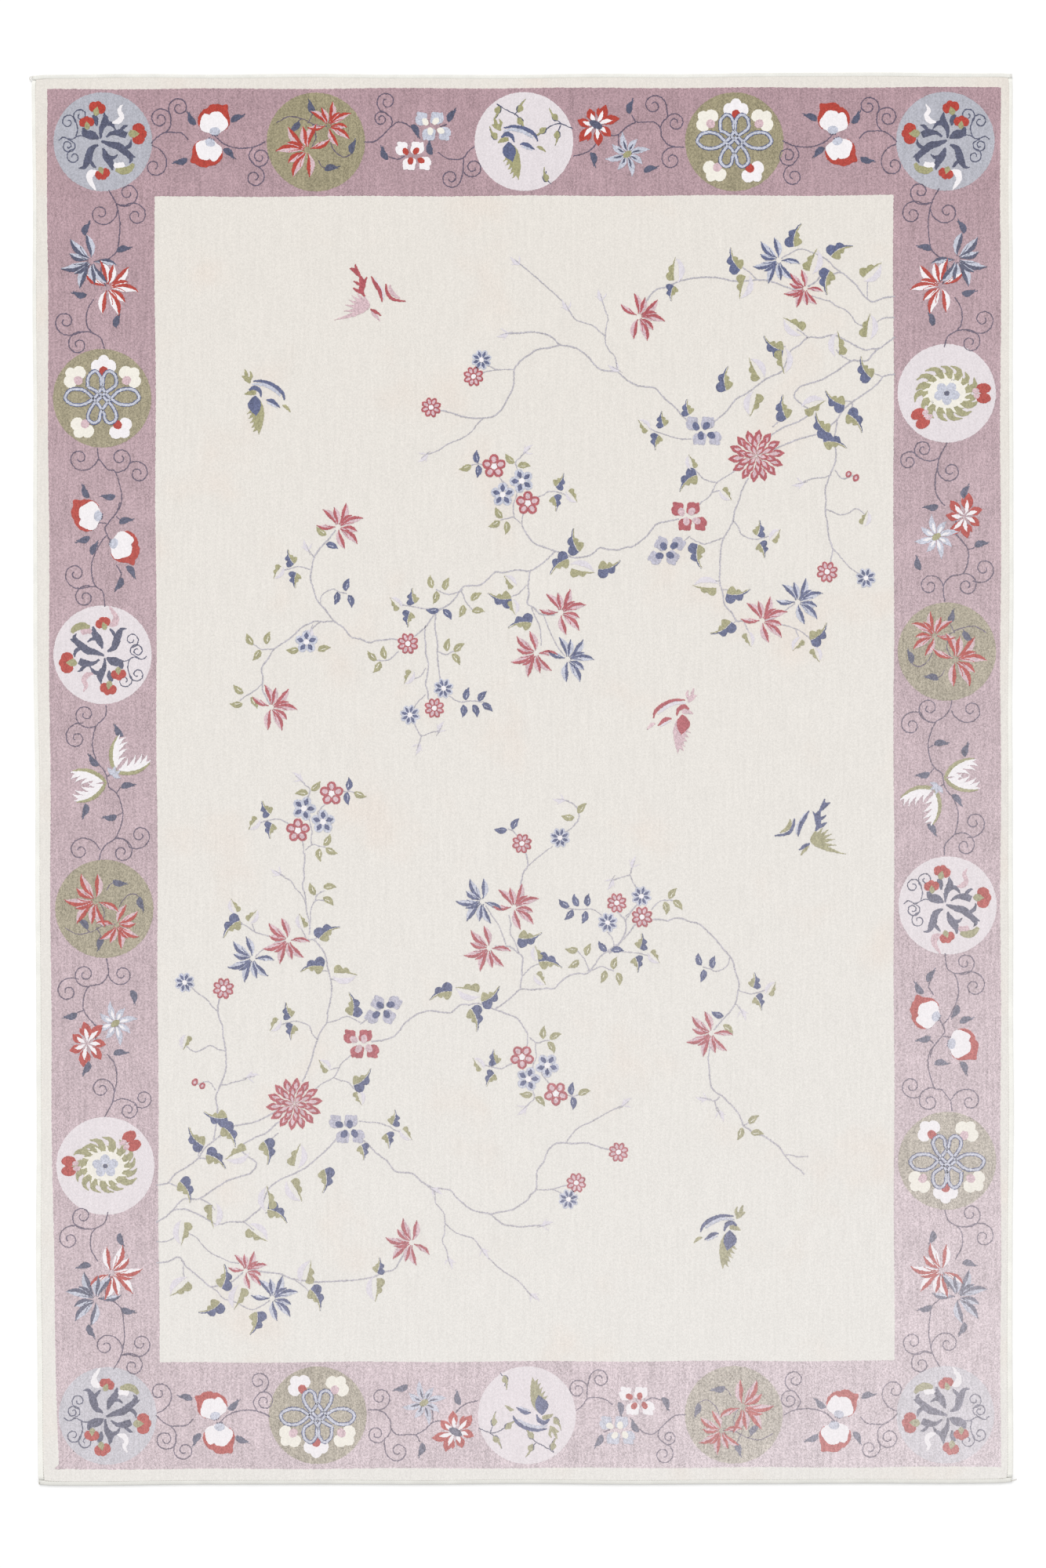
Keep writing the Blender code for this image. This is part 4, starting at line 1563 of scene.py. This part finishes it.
# Operators
class RUG_OT_ground(bpy.types.Operator):
    """The ivory ground: one slab of pile between the tapes"""

    bl_idname = "rug.ground"
    bl_label = "Pile ground"

    def execute(self, context):
        deselect()
        sizes = context.scene.rug_sizes
        cells_across, cells_along = GROUND_CELLS
        bpy.ops.mesh.primitive_grid_add(x_subdivisions=cells_across, y_subdivisions=cells_along, size=1.0)
        ground = context.object
        ground.name = "pile_ground"
        ground.data.name = "pile_ground"
        bpy.ops.object.mode_set(mode="EDIT")
        bpy.ops.mesh.select_all(action="SELECT")
        bpy.ops.mesh.extrude_region_move(TRANSFORM_OT_translate={"value": (0.0, 0.0, sizes.pile_top)})
        bpy.ops.mesh.select_all(action="SELECT")
        bpy.ops.mesh.normals_make_consistent(inside=False)
        bpy.ops.object.mode_set(mode="OBJECT")
        for vertex in ground.data.vertices:
            across = vertex.co.x + 0.5
            along = vertex.co.y + 0.5
            top = vertex.co.z > 0.5 * sizes.pile_top
            beside_tape = -PILE_LEAN if top else GAP
            side_inset = side_tape_width(along) + beside_tape
            x, y = place(across, along, sizes.tape_width + beside_tape, side_inset)
            at_rim = min(across, 1.0 - across, along, 1.0 - along) < 1e-6
            drop = RIM_DROP if at_rim else 0.0
            vertex.co = (x, y, pile_height(across, along) - drop if top else 0.0)
        ground.data.materials.append(yarn_material(context, "ivory"))
        plan_map(ground)
        dress(ground, "pile", "rug_panel")
        return {"FINISHED"}


def border_corner(half_x, x, y):
    """A point of the border's frame, with the slight taper of its left side at the near end."""
    if y < TAPER_START and x < 1.0 - half_x:
        outermost = (half_x / BORDER_HALF[0]) ** TAPER_NARROWING
        x += TAPER_SHIFT * ((TAPER_START - y) / TAPER_DEPTH) ** 2 * outermost
    return x, y


class RUG_OT_border(bpy.types.Operator):
    """The mauve border, and its roundels in sage, pale blue and lilac white"""

    bl_idname = "rug.border"
    bl_label = "Border and roundels"

    def execute(self, context):
        cloth = Inlay("border")
        tuft = context.scene.rug_sizes.tuft / MM
        across = round(2 * BORDER_HALF[0] / tuft)
        along = round(2 * BORDER_HALF[1] / tuft)
        rings = []
        for ring in range(BORDER_RINGS + 1):
            share = ring / BORDER_RINGS
            half_x = BORDER_HALF[0] + (FIELD_HALF[0] - BORDER_HALF[0]) * share
            half_y = BORDER_HALF[1] + (FIELD_HALF[1] - BORDER_HALF[1]) * share
            points = [(-half_x + 2 * half_x * k / across, -half_y) for k in range(across)]
            points += [(half_x, -half_y + 2 * half_y * k / along) for k in range(along)]
            points += [(half_x - 2 * half_x * k / across, half_y) for k in range(across)]
            points += [(-half_x, half_y - 2 * half_y * k / along) for k in range(along)]
            placed = []
            for x, y in points:
                px, py = border_corner(half_x, x, y)
                if ring in (0, BORDER_RINGS):
                    px += cloth.rag() * BORDER_RAGGED + BORDER_WAVER * math.sin(y / WAVER_ALONG + half_x)
                    py += cloth.rag() * BORDER_RAGGED + BORDER_WAVER * math.sin(x / WAVER_ACROSS + half_y)
                placed.append((px, py))
            rings.append(placed)
        count = len(rings[0])
        faces = []
        for ring in range(BORDER_RINGS):
            outer = ring * count
            inner = outer + count
            for k in range(count):
                following = (k + 1) % count
                faces.append((outer + k, outer + following, inner + following, inner + k))
        cloth.add("mauve", BORDER_LEVEL, [point for ring in rings for point in ring], faces, False)
        for half in (RUG, OTHER_HALF):
            for roundel in ROUNDELS:
                at = half.inner(roundel.x, roundel.y)
                patch(cloth, at, roundel.ground, ROUNDEL_LEVEL, lambda angle: ROUNDEL_RADIUS, ROUNDEL_RINGS)
        cloth.lay(context)
        return {"FINISHED"}


class RUG_OT_vines(bpy.types.Operator):
    """The border's vines, scrolls and slate leaves"""

    bl_idname = "rug.vines"
    bl_label = "Border vines"

    def execute(self, context):
        cloth = Inlay("vines")
        for half in (RUG, OTHER_HALF):
            mirrored = half.inner(0, 0, 180.0, hand=-1)
            flipped = half.inner(0, 0, 0, hand=-1)
            for at, stretch in (
                (half, FRUIT_STRETCH),
                (mirrored, FRUIT_STRETCH),
                (half, FOUR_STRETCH),
                (half, STAR_STRETCH),
                (half, SPIDER_STRETCH),
                (flipped, SPIDER_STRETCH),
                (half, SIDE_FRUIT_STRETCH),
                (half, FAN_STRETCH),
                (half, SIDE_STAR_STRETCH),
            ):
                vines(cloth, at, stretch)
        cloth.lay(context)
        return {"FINISHED"}


class RUG_OT_border_flowers(bpy.types.Operator):
    """The fruit, stars, fans, spider flowers and four-petalled flowers between the roundels"""

    bl_idname = "rug.border_flowers"
    bl_label = "Border flowers"

    def execute(self, context):
        cloth = Inlay("border flowers")
        for half in (RUG, OTHER_HALF):
            mirrored = half.inner(0, 0, 180.0, hand=-1)
            flipped = half.inner(0, 0, 0, hand=-1)
            for side in (half, mirrored):
                fruit(cloth, side.inner(-504, 1071, 0))
                fruit(cloth, side.inner(-513, 1023, 160, 0.95))
            fruit(cloth, half.inner(-710, 432, 82))
            fruit(cloth, half.inner(-654, 383, 248))
            four_petals(cloth, half.inner(-180, 1015, 0), "white", "brick")
            four_petals(cloth, half.inner(-148, 1063, 0), "sky", "cream", 4.8)
            red_star(cloth, half.inner(117, 1065), "slate")
            pale_star(cloth, half.inner(168, 1017))
            pale_star(cloth, half.inner(-670, -395, 0), stamens=False)
            red_star(cloth, half.inner(-716, -428, 35), None)
            for side in (half, flipped):
                spider_flower(cloth, side.inner(-703, 846, 190), 45, "slate", "sky")
                spider_flower(cloth, side.inner(-678, 803, -12), 45, "brick", "white")
            fan_flower(cloth, half.inner(-668, 16, 50), True, 30)
            fan_flower(cloth, half.inner(-683, -2, 187), False, 20)
        cloth.lay(context)
        return {"FINISHED"}


class RUG_OT_roundel_motifs(bpy.types.Operator):
    """What the roundels hold: curled leaves, knots, wreaths, spider flowers and birds"""

    bl_idname = "rug.roundel_motifs"
    bl_label = "Roundel motifs"

    def execute(self, context):
        cloth = Inlay("roundels")
        for half in (RUG, OTHER_HALF):
            acanthus(cloth, half.inner(-684, 1039), "white")
            acanthus(cloth, half.inner(685, 1037, 180, hand=-1), "white")
            spider_roundel(cloth, half.inner(-338, 1038))
            bird_roundel(cloth, half.inner(0, 1038))
            knot(cloth, half.inner(342, 1035))
            knot(cloth, half.inner(-687, 621))
            acanthus(cloth, half.inner(-688, 206, 180), "pink")
            spider_roundel(cloth, half.inner(-687, -208, 0, hand=-1))
            wreath(cloth, half.inner(-687, -628))
        cloth.lay(context)
        return {"FINISHED"}


class RUG_OT_branches(bpy.types.Operator):
    """The grey branches and twigs of the field's sprays, with their buds"""

    bl_idname = "rug.branches"
    bl_label = "Field branches"

    def execute(self, context):
        cloth = Inlay("branches")
        for sprig, at in LAYOUT:
            for route in sprig.boughs:
                line(cloth, at, "twig", VINE_LEVEL, wander(cloth, route), BOUGH_WIDTH)
            for route in sprig.twigs:
                line(cloth, at, "twig", VINE_LEVEL, wander(cloth, route), TWIG_WIDTH)
            for x, y, turn in sprig.buds:
                bud_tip(cloth, at.inner(x, y, turn))
        cloth.lay(context)
        return {"FINISHED"}


class RUG_OT_leaves(bpy.types.Operator):
    """The leaves of the field's sprays"""

    bl_idname = "rug.leaves"
    bl_label = "Field leaves"

    def execute(self, context):
        cloth = Inlay("leaves")
        for sprig, at in LAYOUT:
            for draw, size, rows in (
                (large_leaf, 1.0, sprig.large),
                (half_leaf, 1.0, sprig.half),
                (half_leaf, BRACT_SIZE, sprig.bract),
                (small_leaf, 1.0, sprig.small),
            ):
                for x, y, turn, hand in rows:
                    draw(cloth, at.inner(x, y, turn, size, hand))
            for yarn, rows in (("olive", sprig.olive), ("navy", sprig.navy)):
                for x, y, turn in rows:
                    plain_leaf(cloth, at.inner(x, y, turn), yarn)
        cloth.lay(context)
        return {"FINISHED"}


class RUG_OT_flowers(bpy.types.Operator):
    """The flowers and berries of the field's sprays"""

    bl_idname = "rug.flowers"
    bl_label = "Field flowers"

    def execute(self, context):
        cloth = Inlay("flowers")
        for sprig, at in LAYOUT:
            for x, y, turn, reach, yarn in sprig.spiders:
                light = "pink" if yarn == "rose" else "sky"
                spider_flower(cloth, at.inner(x, y, turn), reach * FIELD_SPIDER_SIZE, yarn, light)
            for count, rows in ((8, sprig.eights), (5, sprig.fives)):
                for x, y, turn, reach, yarn in rows:
                    outer, inner = ("rose", "pink") if yarn == "rose" else ("sky", "navy")
                    daisy(cloth, at.inner(x, y, turn), reach, count, outer, inner)
            for x, y, turn, yarn in sprig.fours:
                drop = "pink" if yarn == "rose" else "navy"
                four_petals(cloth, at.inner(x, y, turn), yarn, drop, FIELD_DROP_SIZE)
            for x, y in sprig.mums:
                chrysanthemum(cloth, at.inner(x, y))
            for x, y, reach in sprig.berries:
                spot(cloth, at, "rose", FLOWER_LEVEL, x, y, reach, reach * 0.8, 60)
                spot(cloth, at, "pink", FLOWER_LEVEL + 1, x, y, reach * 0.5, reach * 0.36, 60)
        cloth.lay(context)
        return {"FINISHED"}


class RUG_OT_birds(bpy.types.Operator):
    """Five small birds in the field"""

    bl_idname = "rug.birds"
    bl_label = "Birds"

    def execute(self, context):
        cloth = Inlay("birds")
        for x, y, turn, hand, dark, soft, light, turning in BIRDS:
            bird(cloth, Place(x, y, turn, hand=hand), dark, soft, light, turning)
        cloth.lay(context)
        return {"FINISHED"}


def tape_section(width, share):
    """The folded tape's outer skin at a share from its sewn upper edge, over the fold, to its lower edge."""
    top = TAPE_TOP - TAPE_SUNK
    flat = width - TAPE_FOLD
    bend = math.pi * TAPE_FOLD / 2
    drop = TAPE_TOP - 2 * TAPE_FOLD
    run = share * (flat + bend + drop + bend + flat)
    if run <= flat:
        puff = TAPE_PUFF * math.sin(math.pi * run / flat)
        sewn = SEWN_DIP * math.exp(-((run / SEWN_REACH) ** 2))
        return width - run, top + puff - sewn
    run -= flat
    if run <= bend:
        angle = run / TAPE_FOLD
        return TAPE_FOLD - TAPE_FOLD * math.sin(angle), top - TAPE_FOLD + TAPE_FOLD * math.cos(angle)
    run -= bend
    if run <= drop:
        return 0.0, top - TAPE_FOLD - run * (1 - TAPE_SUNK / drop)
    run -= drop
    if run <= bend:
        angle = run / TAPE_FOLD
        return TAPE_FOLD - TAPE_FOLD * math.cos(angle), TAPE_FOLD - TAPE_FOLD * math.sin(angle)
    run -= bend
    return TAPE_FOLD + run, 0.0


class RUG_OT_edge_tape(bpy.types.Operator):
    """Four strips of woven tape, folded over the rug's rim"""

    bl_idname = "rug.edge_tape"
    bl_label = "Edge tape"

    def execute(self, context):
        tape_width = context.scene.rug_sizes.tape_width
        covered = (tape_width + GAP) / RUG_LENGTH
        for side in SIDES:
            name = "tape_" + side
            at_end = side in ENDS
            cells = END_TAPE_CELLS if at_end else SIDE_TAPE_CELLS
            chance = random.Random(name)
            puckers = [chance.uniform(-PUCKER, PUCKER) for _ in range(cells + 1)]
            deselect()
            bpy.ops.mesh.primitive_grid_add(x_subdivisions=cells, y_subdivisions=ROUND_TAPE_CELLS, size=1.0)
            tape = context.object
            tape.name = name
            tape.data.name = name
            for vertex in tape.data.vertices:
                share = vertex.co.x + 0.5
                skin = 0.5 - vertex.co.y
                along = share if at_end else covered + (1.0 - 2 * covered) * share
                width = tape_width if at_end else side_tape_width(along)
                inset, height = tape_section(width, skin)
                x, y = beside(side, along, inset)
                if PUCKERED_FROM < skin < PUCKERED_TO:
                    height += puckers[round(share * cells)]
                vertex.co = (x, y, max(0.0, height))
            only(tape)
            bpy.ops.object.mode_set(mode="EDIT")
            bpy.ops.mesh.select_all(action="SELECT")
            if side in ("far", "left"):
                bpy.ops.mesh.flip_normals()
            bpy.ops.object.mode_set(mode="OBJECT")
            solid(tape, TAPE_THICKNESS)
            tape.data.materials.append(tape_material(context, "woven_" + name, TAPE_PAINTED_SHADES[side]))
            bpy.ops.object.shade_smooth()
            plan_map(tape)
            dress(tape, "edge_tape", "binding_" + side)
        return {"FINISHED"}


def stitch_line(side):
    """Where one side's stitches lie and how they are turned, a stitch pitch apart."""
    sizes = bpy.context.scene.rug_sizes
    at_end = side in ENDS
    count = round((RUG_WIDTH if at_end else RUG_LENGTH) / sizes.stitch_pitch)
    for k in range(BARE_PITCHES, count - BARE_PITCHES):
        share = k / count
        width = sizes.tape_width if at_end else side_tape_width(share)
        yield (*beside(side, share, width - STITCH_INSET), 0.0 if at_end else math.pi / 2)


class RUG_OT_stitches(bpy.types.Operator):
    """The rows of stitches that hold the edge tape, one stitch copied along all four sides"""

    bl_idname = "rug.stitches"
    bl_label = "Edge stitches"

    def execute(self, context):
        deselect()
        bpy.ops.mesh.primitive_uv_sphere_add(segments=6, ring_count=4, radius=0.5)
        stitch = context.object
        stitch.name = "edge_stitches"
        stitch.data.name = "edge_stitches"
        template = stitch.data.copy()
        chance = random.Random("stitches")
        vertices = []
        faces = []
        for side in SIDES:
            for x, y, turn in stitch_line(side):
                start = len(vertices)
                lean = turn + chance.uniform(-STITCH_LEAN, STITCH_LEAN)
                slide = chance.uniform(-STITCH_SLIDE, STITCH_SLIDE)
                cos = math.cos(lean)
                sin = math.sin(lean)
                for vertex in template.vertices:
                    px = vertex.co.x * STITCH_LENGTH + slide
                    py = vertex.co.y * STITCH_WIDTH
                    dip = 2 * STITCH_HEIGHT * vertex.co.x ** 2
                    pz = TAPE_TOP - STITCH_SUNK + vertex.co.z * STITCH_HEIGHT - dip
                    vertices.append((x + px * cos - py * sin, y + px * sin + py * cos, pz))
                for polygon in template.polygons:
                    faces.append([start + k for k in polygon.vertices])
        stitch.data.clear_geometry()
        stitch.data.from_pydata(vertices, [], faces)
        stitch.data.materials.append(thread_material(context))
        only(stitch)
        bpy.ops.object.shade_smooth()
        plan_map(stitch)
        dress(stitch, "edge_tape")
        return {"FINISHED"}


# Loose thread ends at three corners: points in mm from the corner they lie at, and the thread's radius
ThreadEnd = namedtuple("ThreadEnd", "corner_x corner_y points")
THREAD_ENDS = (
    ThreadEnd(-1, 1, ((4, -5, 6), (0, -3, 6.6), (-3, -4, 4), (-4, -7, 1), (-1, -8, 4), (1, -5, 6.5))),
    ThreadEnd(-1, -1, ((3, 2, 6), (2.6, 4, 6.9), (2.5, 5.5, 6.6), (2.4, 7, 6.2))),
    ThreadEnd(1, -1, ((-4, 4, 6), (-1, 3.5, 6.6), (2, 4, 3), (5, 3.6, 0.6), (7, 4.4, 0.6))),
)
THREAD_RADIUS = 0.00045


class RUG_OT_thread_ends(bpy.types.Operator):
    """Loose ends of the binding thread at three corners"""

    bl_idname = "rug.thread_ends"
    bl_label = "Thread ends"

    def execute(self, context):
        made = []
        for end in THREAD_ENDS:
            curve = bpy.data.curves.new("thread_ends", "CURVE")
            curve.dimensions = "3D"
            curve.bevel_depth = THREAD_RADIUS
            curve.bevel_resolution = 2
            curve.use_fill_caps = True
            spline = curve.splines.new("NURBS")
            spline.points.add(len(end.points) - 1)
            for point, (x, y, z) in zip(spline.points, end.points):
                corner_x = end.corner_x * RUG_WIDTH / 2 + x * MM
                corner_y = end.corner_y * RUG_LENGTH / 2 + y * MM
                point.co = (corner_x, corner_y, z * MM, 1.0)
            spline.order_u = 3
            spline.use_endpoint_u = True
            thing = bpy.data.objects.new("thread_ends", curve)
            context.scene.collection.objects.link(thing)
            only(thing)
            bpy.ops.object.convert(target="MESH")
            made.append(context.object)
        deselect()
        for thing in made:
            thing.select_set(True)
        context.view_layer.objects.active = made[0]
        bpy.ops.object.join()
        ends = context.object
        ends.name = "thread_ends"
        ends.data.materials.clear()
        ends.data.materials.append(bpy.data.materials["sewing_thread"])
        bpy.ops.object.shade_smooth()
        plan_map(ends)
        dress(ends, "edge_tape")
        return {"FINISHED"}


# The stage: sizes in metres, turns and the sun's spread in degrees, the lens in millimetres
FLOOR_SIZE = 14.0
FLOOR_TOP = -0.0002
FLOOR_DIM = 0.985
DAYLIGHT = 0.74
SUN_STRENGTH = 1.55
SUN_SPREAD = 38.0
SUN_TURN = (-36.0, -8.0, 0.0)
CAMERA_PLACE = (-0.0069, 0.0398, 4.0)
CAMERA_TURN = (-0.637, -0.079, -0.137)
CAMERA_LENS = 56.25
CAMERA_SENSOR = 36.0


class RUG_OT_stage(bpy.types.Operator):
    """A plain pale floor, soft light from the far side, and the camera straight above"""

    bl_idname = "rug.stage"
    bl_label = "Stage"

    def execute(self, context):
        scene = context.scene
        deselect()
        bpy.ops.mesh.primitive_plane_add(size=FLOOR_SIZE, location=(0.0, 0.0, FLOOR_TOP))
        floor = context.object
        floor.name = "floor"
        bpy.ops.object.transform_apply(location=True, rotation=False, scale=False)
        floor.data.materials.append(floor_material(context))

        world = bpy.data.worlds.new("soft_studio")
        world.use_nodes = True
        background = world.node_tree.nodes["Background"]
        background.inputs["Color"].default_value = (1.0, 1.0, 1.0, 1.0)
        background.inputs["Strength"].default_value = DAYLIGHT
        scene.world = world

        lamp = bpy.data.lights.new("window", "SUN")
        lamp.energy = SUN_STRENGTH
        lamp.angle = math.radians(SUN_SPREAD)
        window = bpy.data.objects.new("window", lamp)
        window.rotation_euler = [math.radians(turn) for turn in SUN_TURN]
        scene.collection.objects.link(window)

        lens = bpy.data.cameras.new("camera")
        lens.sensor_fit = "VERTICAL"
        lens.sensor_height = CAMERA_SENSOR
        lens.lens = CAMERA_LENS
        camera = bpy.data.objects.new("camera", lens)
        camera.location = CAMERA_PLACE
        camera.rotation_euler = [math.radians(turn) for turn in CAMERA_TURN]
        scene.collection.objects.link(camera)
        scene.camera = camera
        scene.view_settings.view_transform = "Standard"
        return {"FINISHED"}


class RUG_PT_panel(bpy.types.Panel):
    bl_label = "Rug"
    bl_idname = "RUG_PT_panel"
    bl_space_type = "VIEW_3D"
    bl_region_type = "UI"
    bl_category = "Rug"

    def draw(self, context):
        layout = self.layout
        for name in RugSizes.__annotations__:
            layout.prop(context.scene.rug_sizes, name)
        for name in RugColours.__annotations__:
            layout.prop(context.scene.rug_colours, name)
        for step in STEPS:
            layout.operator(step.bl_idname)


STEPS = (
    RUG_OT_stage,
    RUG_OT_ground,
    RUG_OT_border,
    RUG_OT_vines,
    RUG_OT_border_flowers,
    RUG_OT_roundel_motifs,
    RUG_OT_branches,
    RUG_OT_leaves,
    RUG_OT_flowers,
    RUG_OT_birds,
    RUG_OT_edge_tape,
    RUG_OT_stitches,
    RUG_OT_thread_ends,
)
CLASSES = (RugSizes, RugColours, *STEPS, RUG_PT_panel)


def register():
    for cls in CLASSES:
        bpy.utils.register_class(cls)
    bpy.types.Scene.rug_sizes = bpy.props.PointerProperty(type=RugSizes)
    bpy.types.Scene.rug_colours = bpy.props.PointerProperty(type=RugColours)


def unregister():
    del bpy.types.Scene.rug_colours
    del bpy.types.Scene.rug_sizes
    for cls in reversed(CLASSES):
        bpy.utils.unregister_class(cls)


def main():
    register()
    for step in STEPS:
        group, name = step.bl_idname.split(".")
        getattr(getattr(bpy.ops, group), name)()


if __name__ == "__main__":
    main()
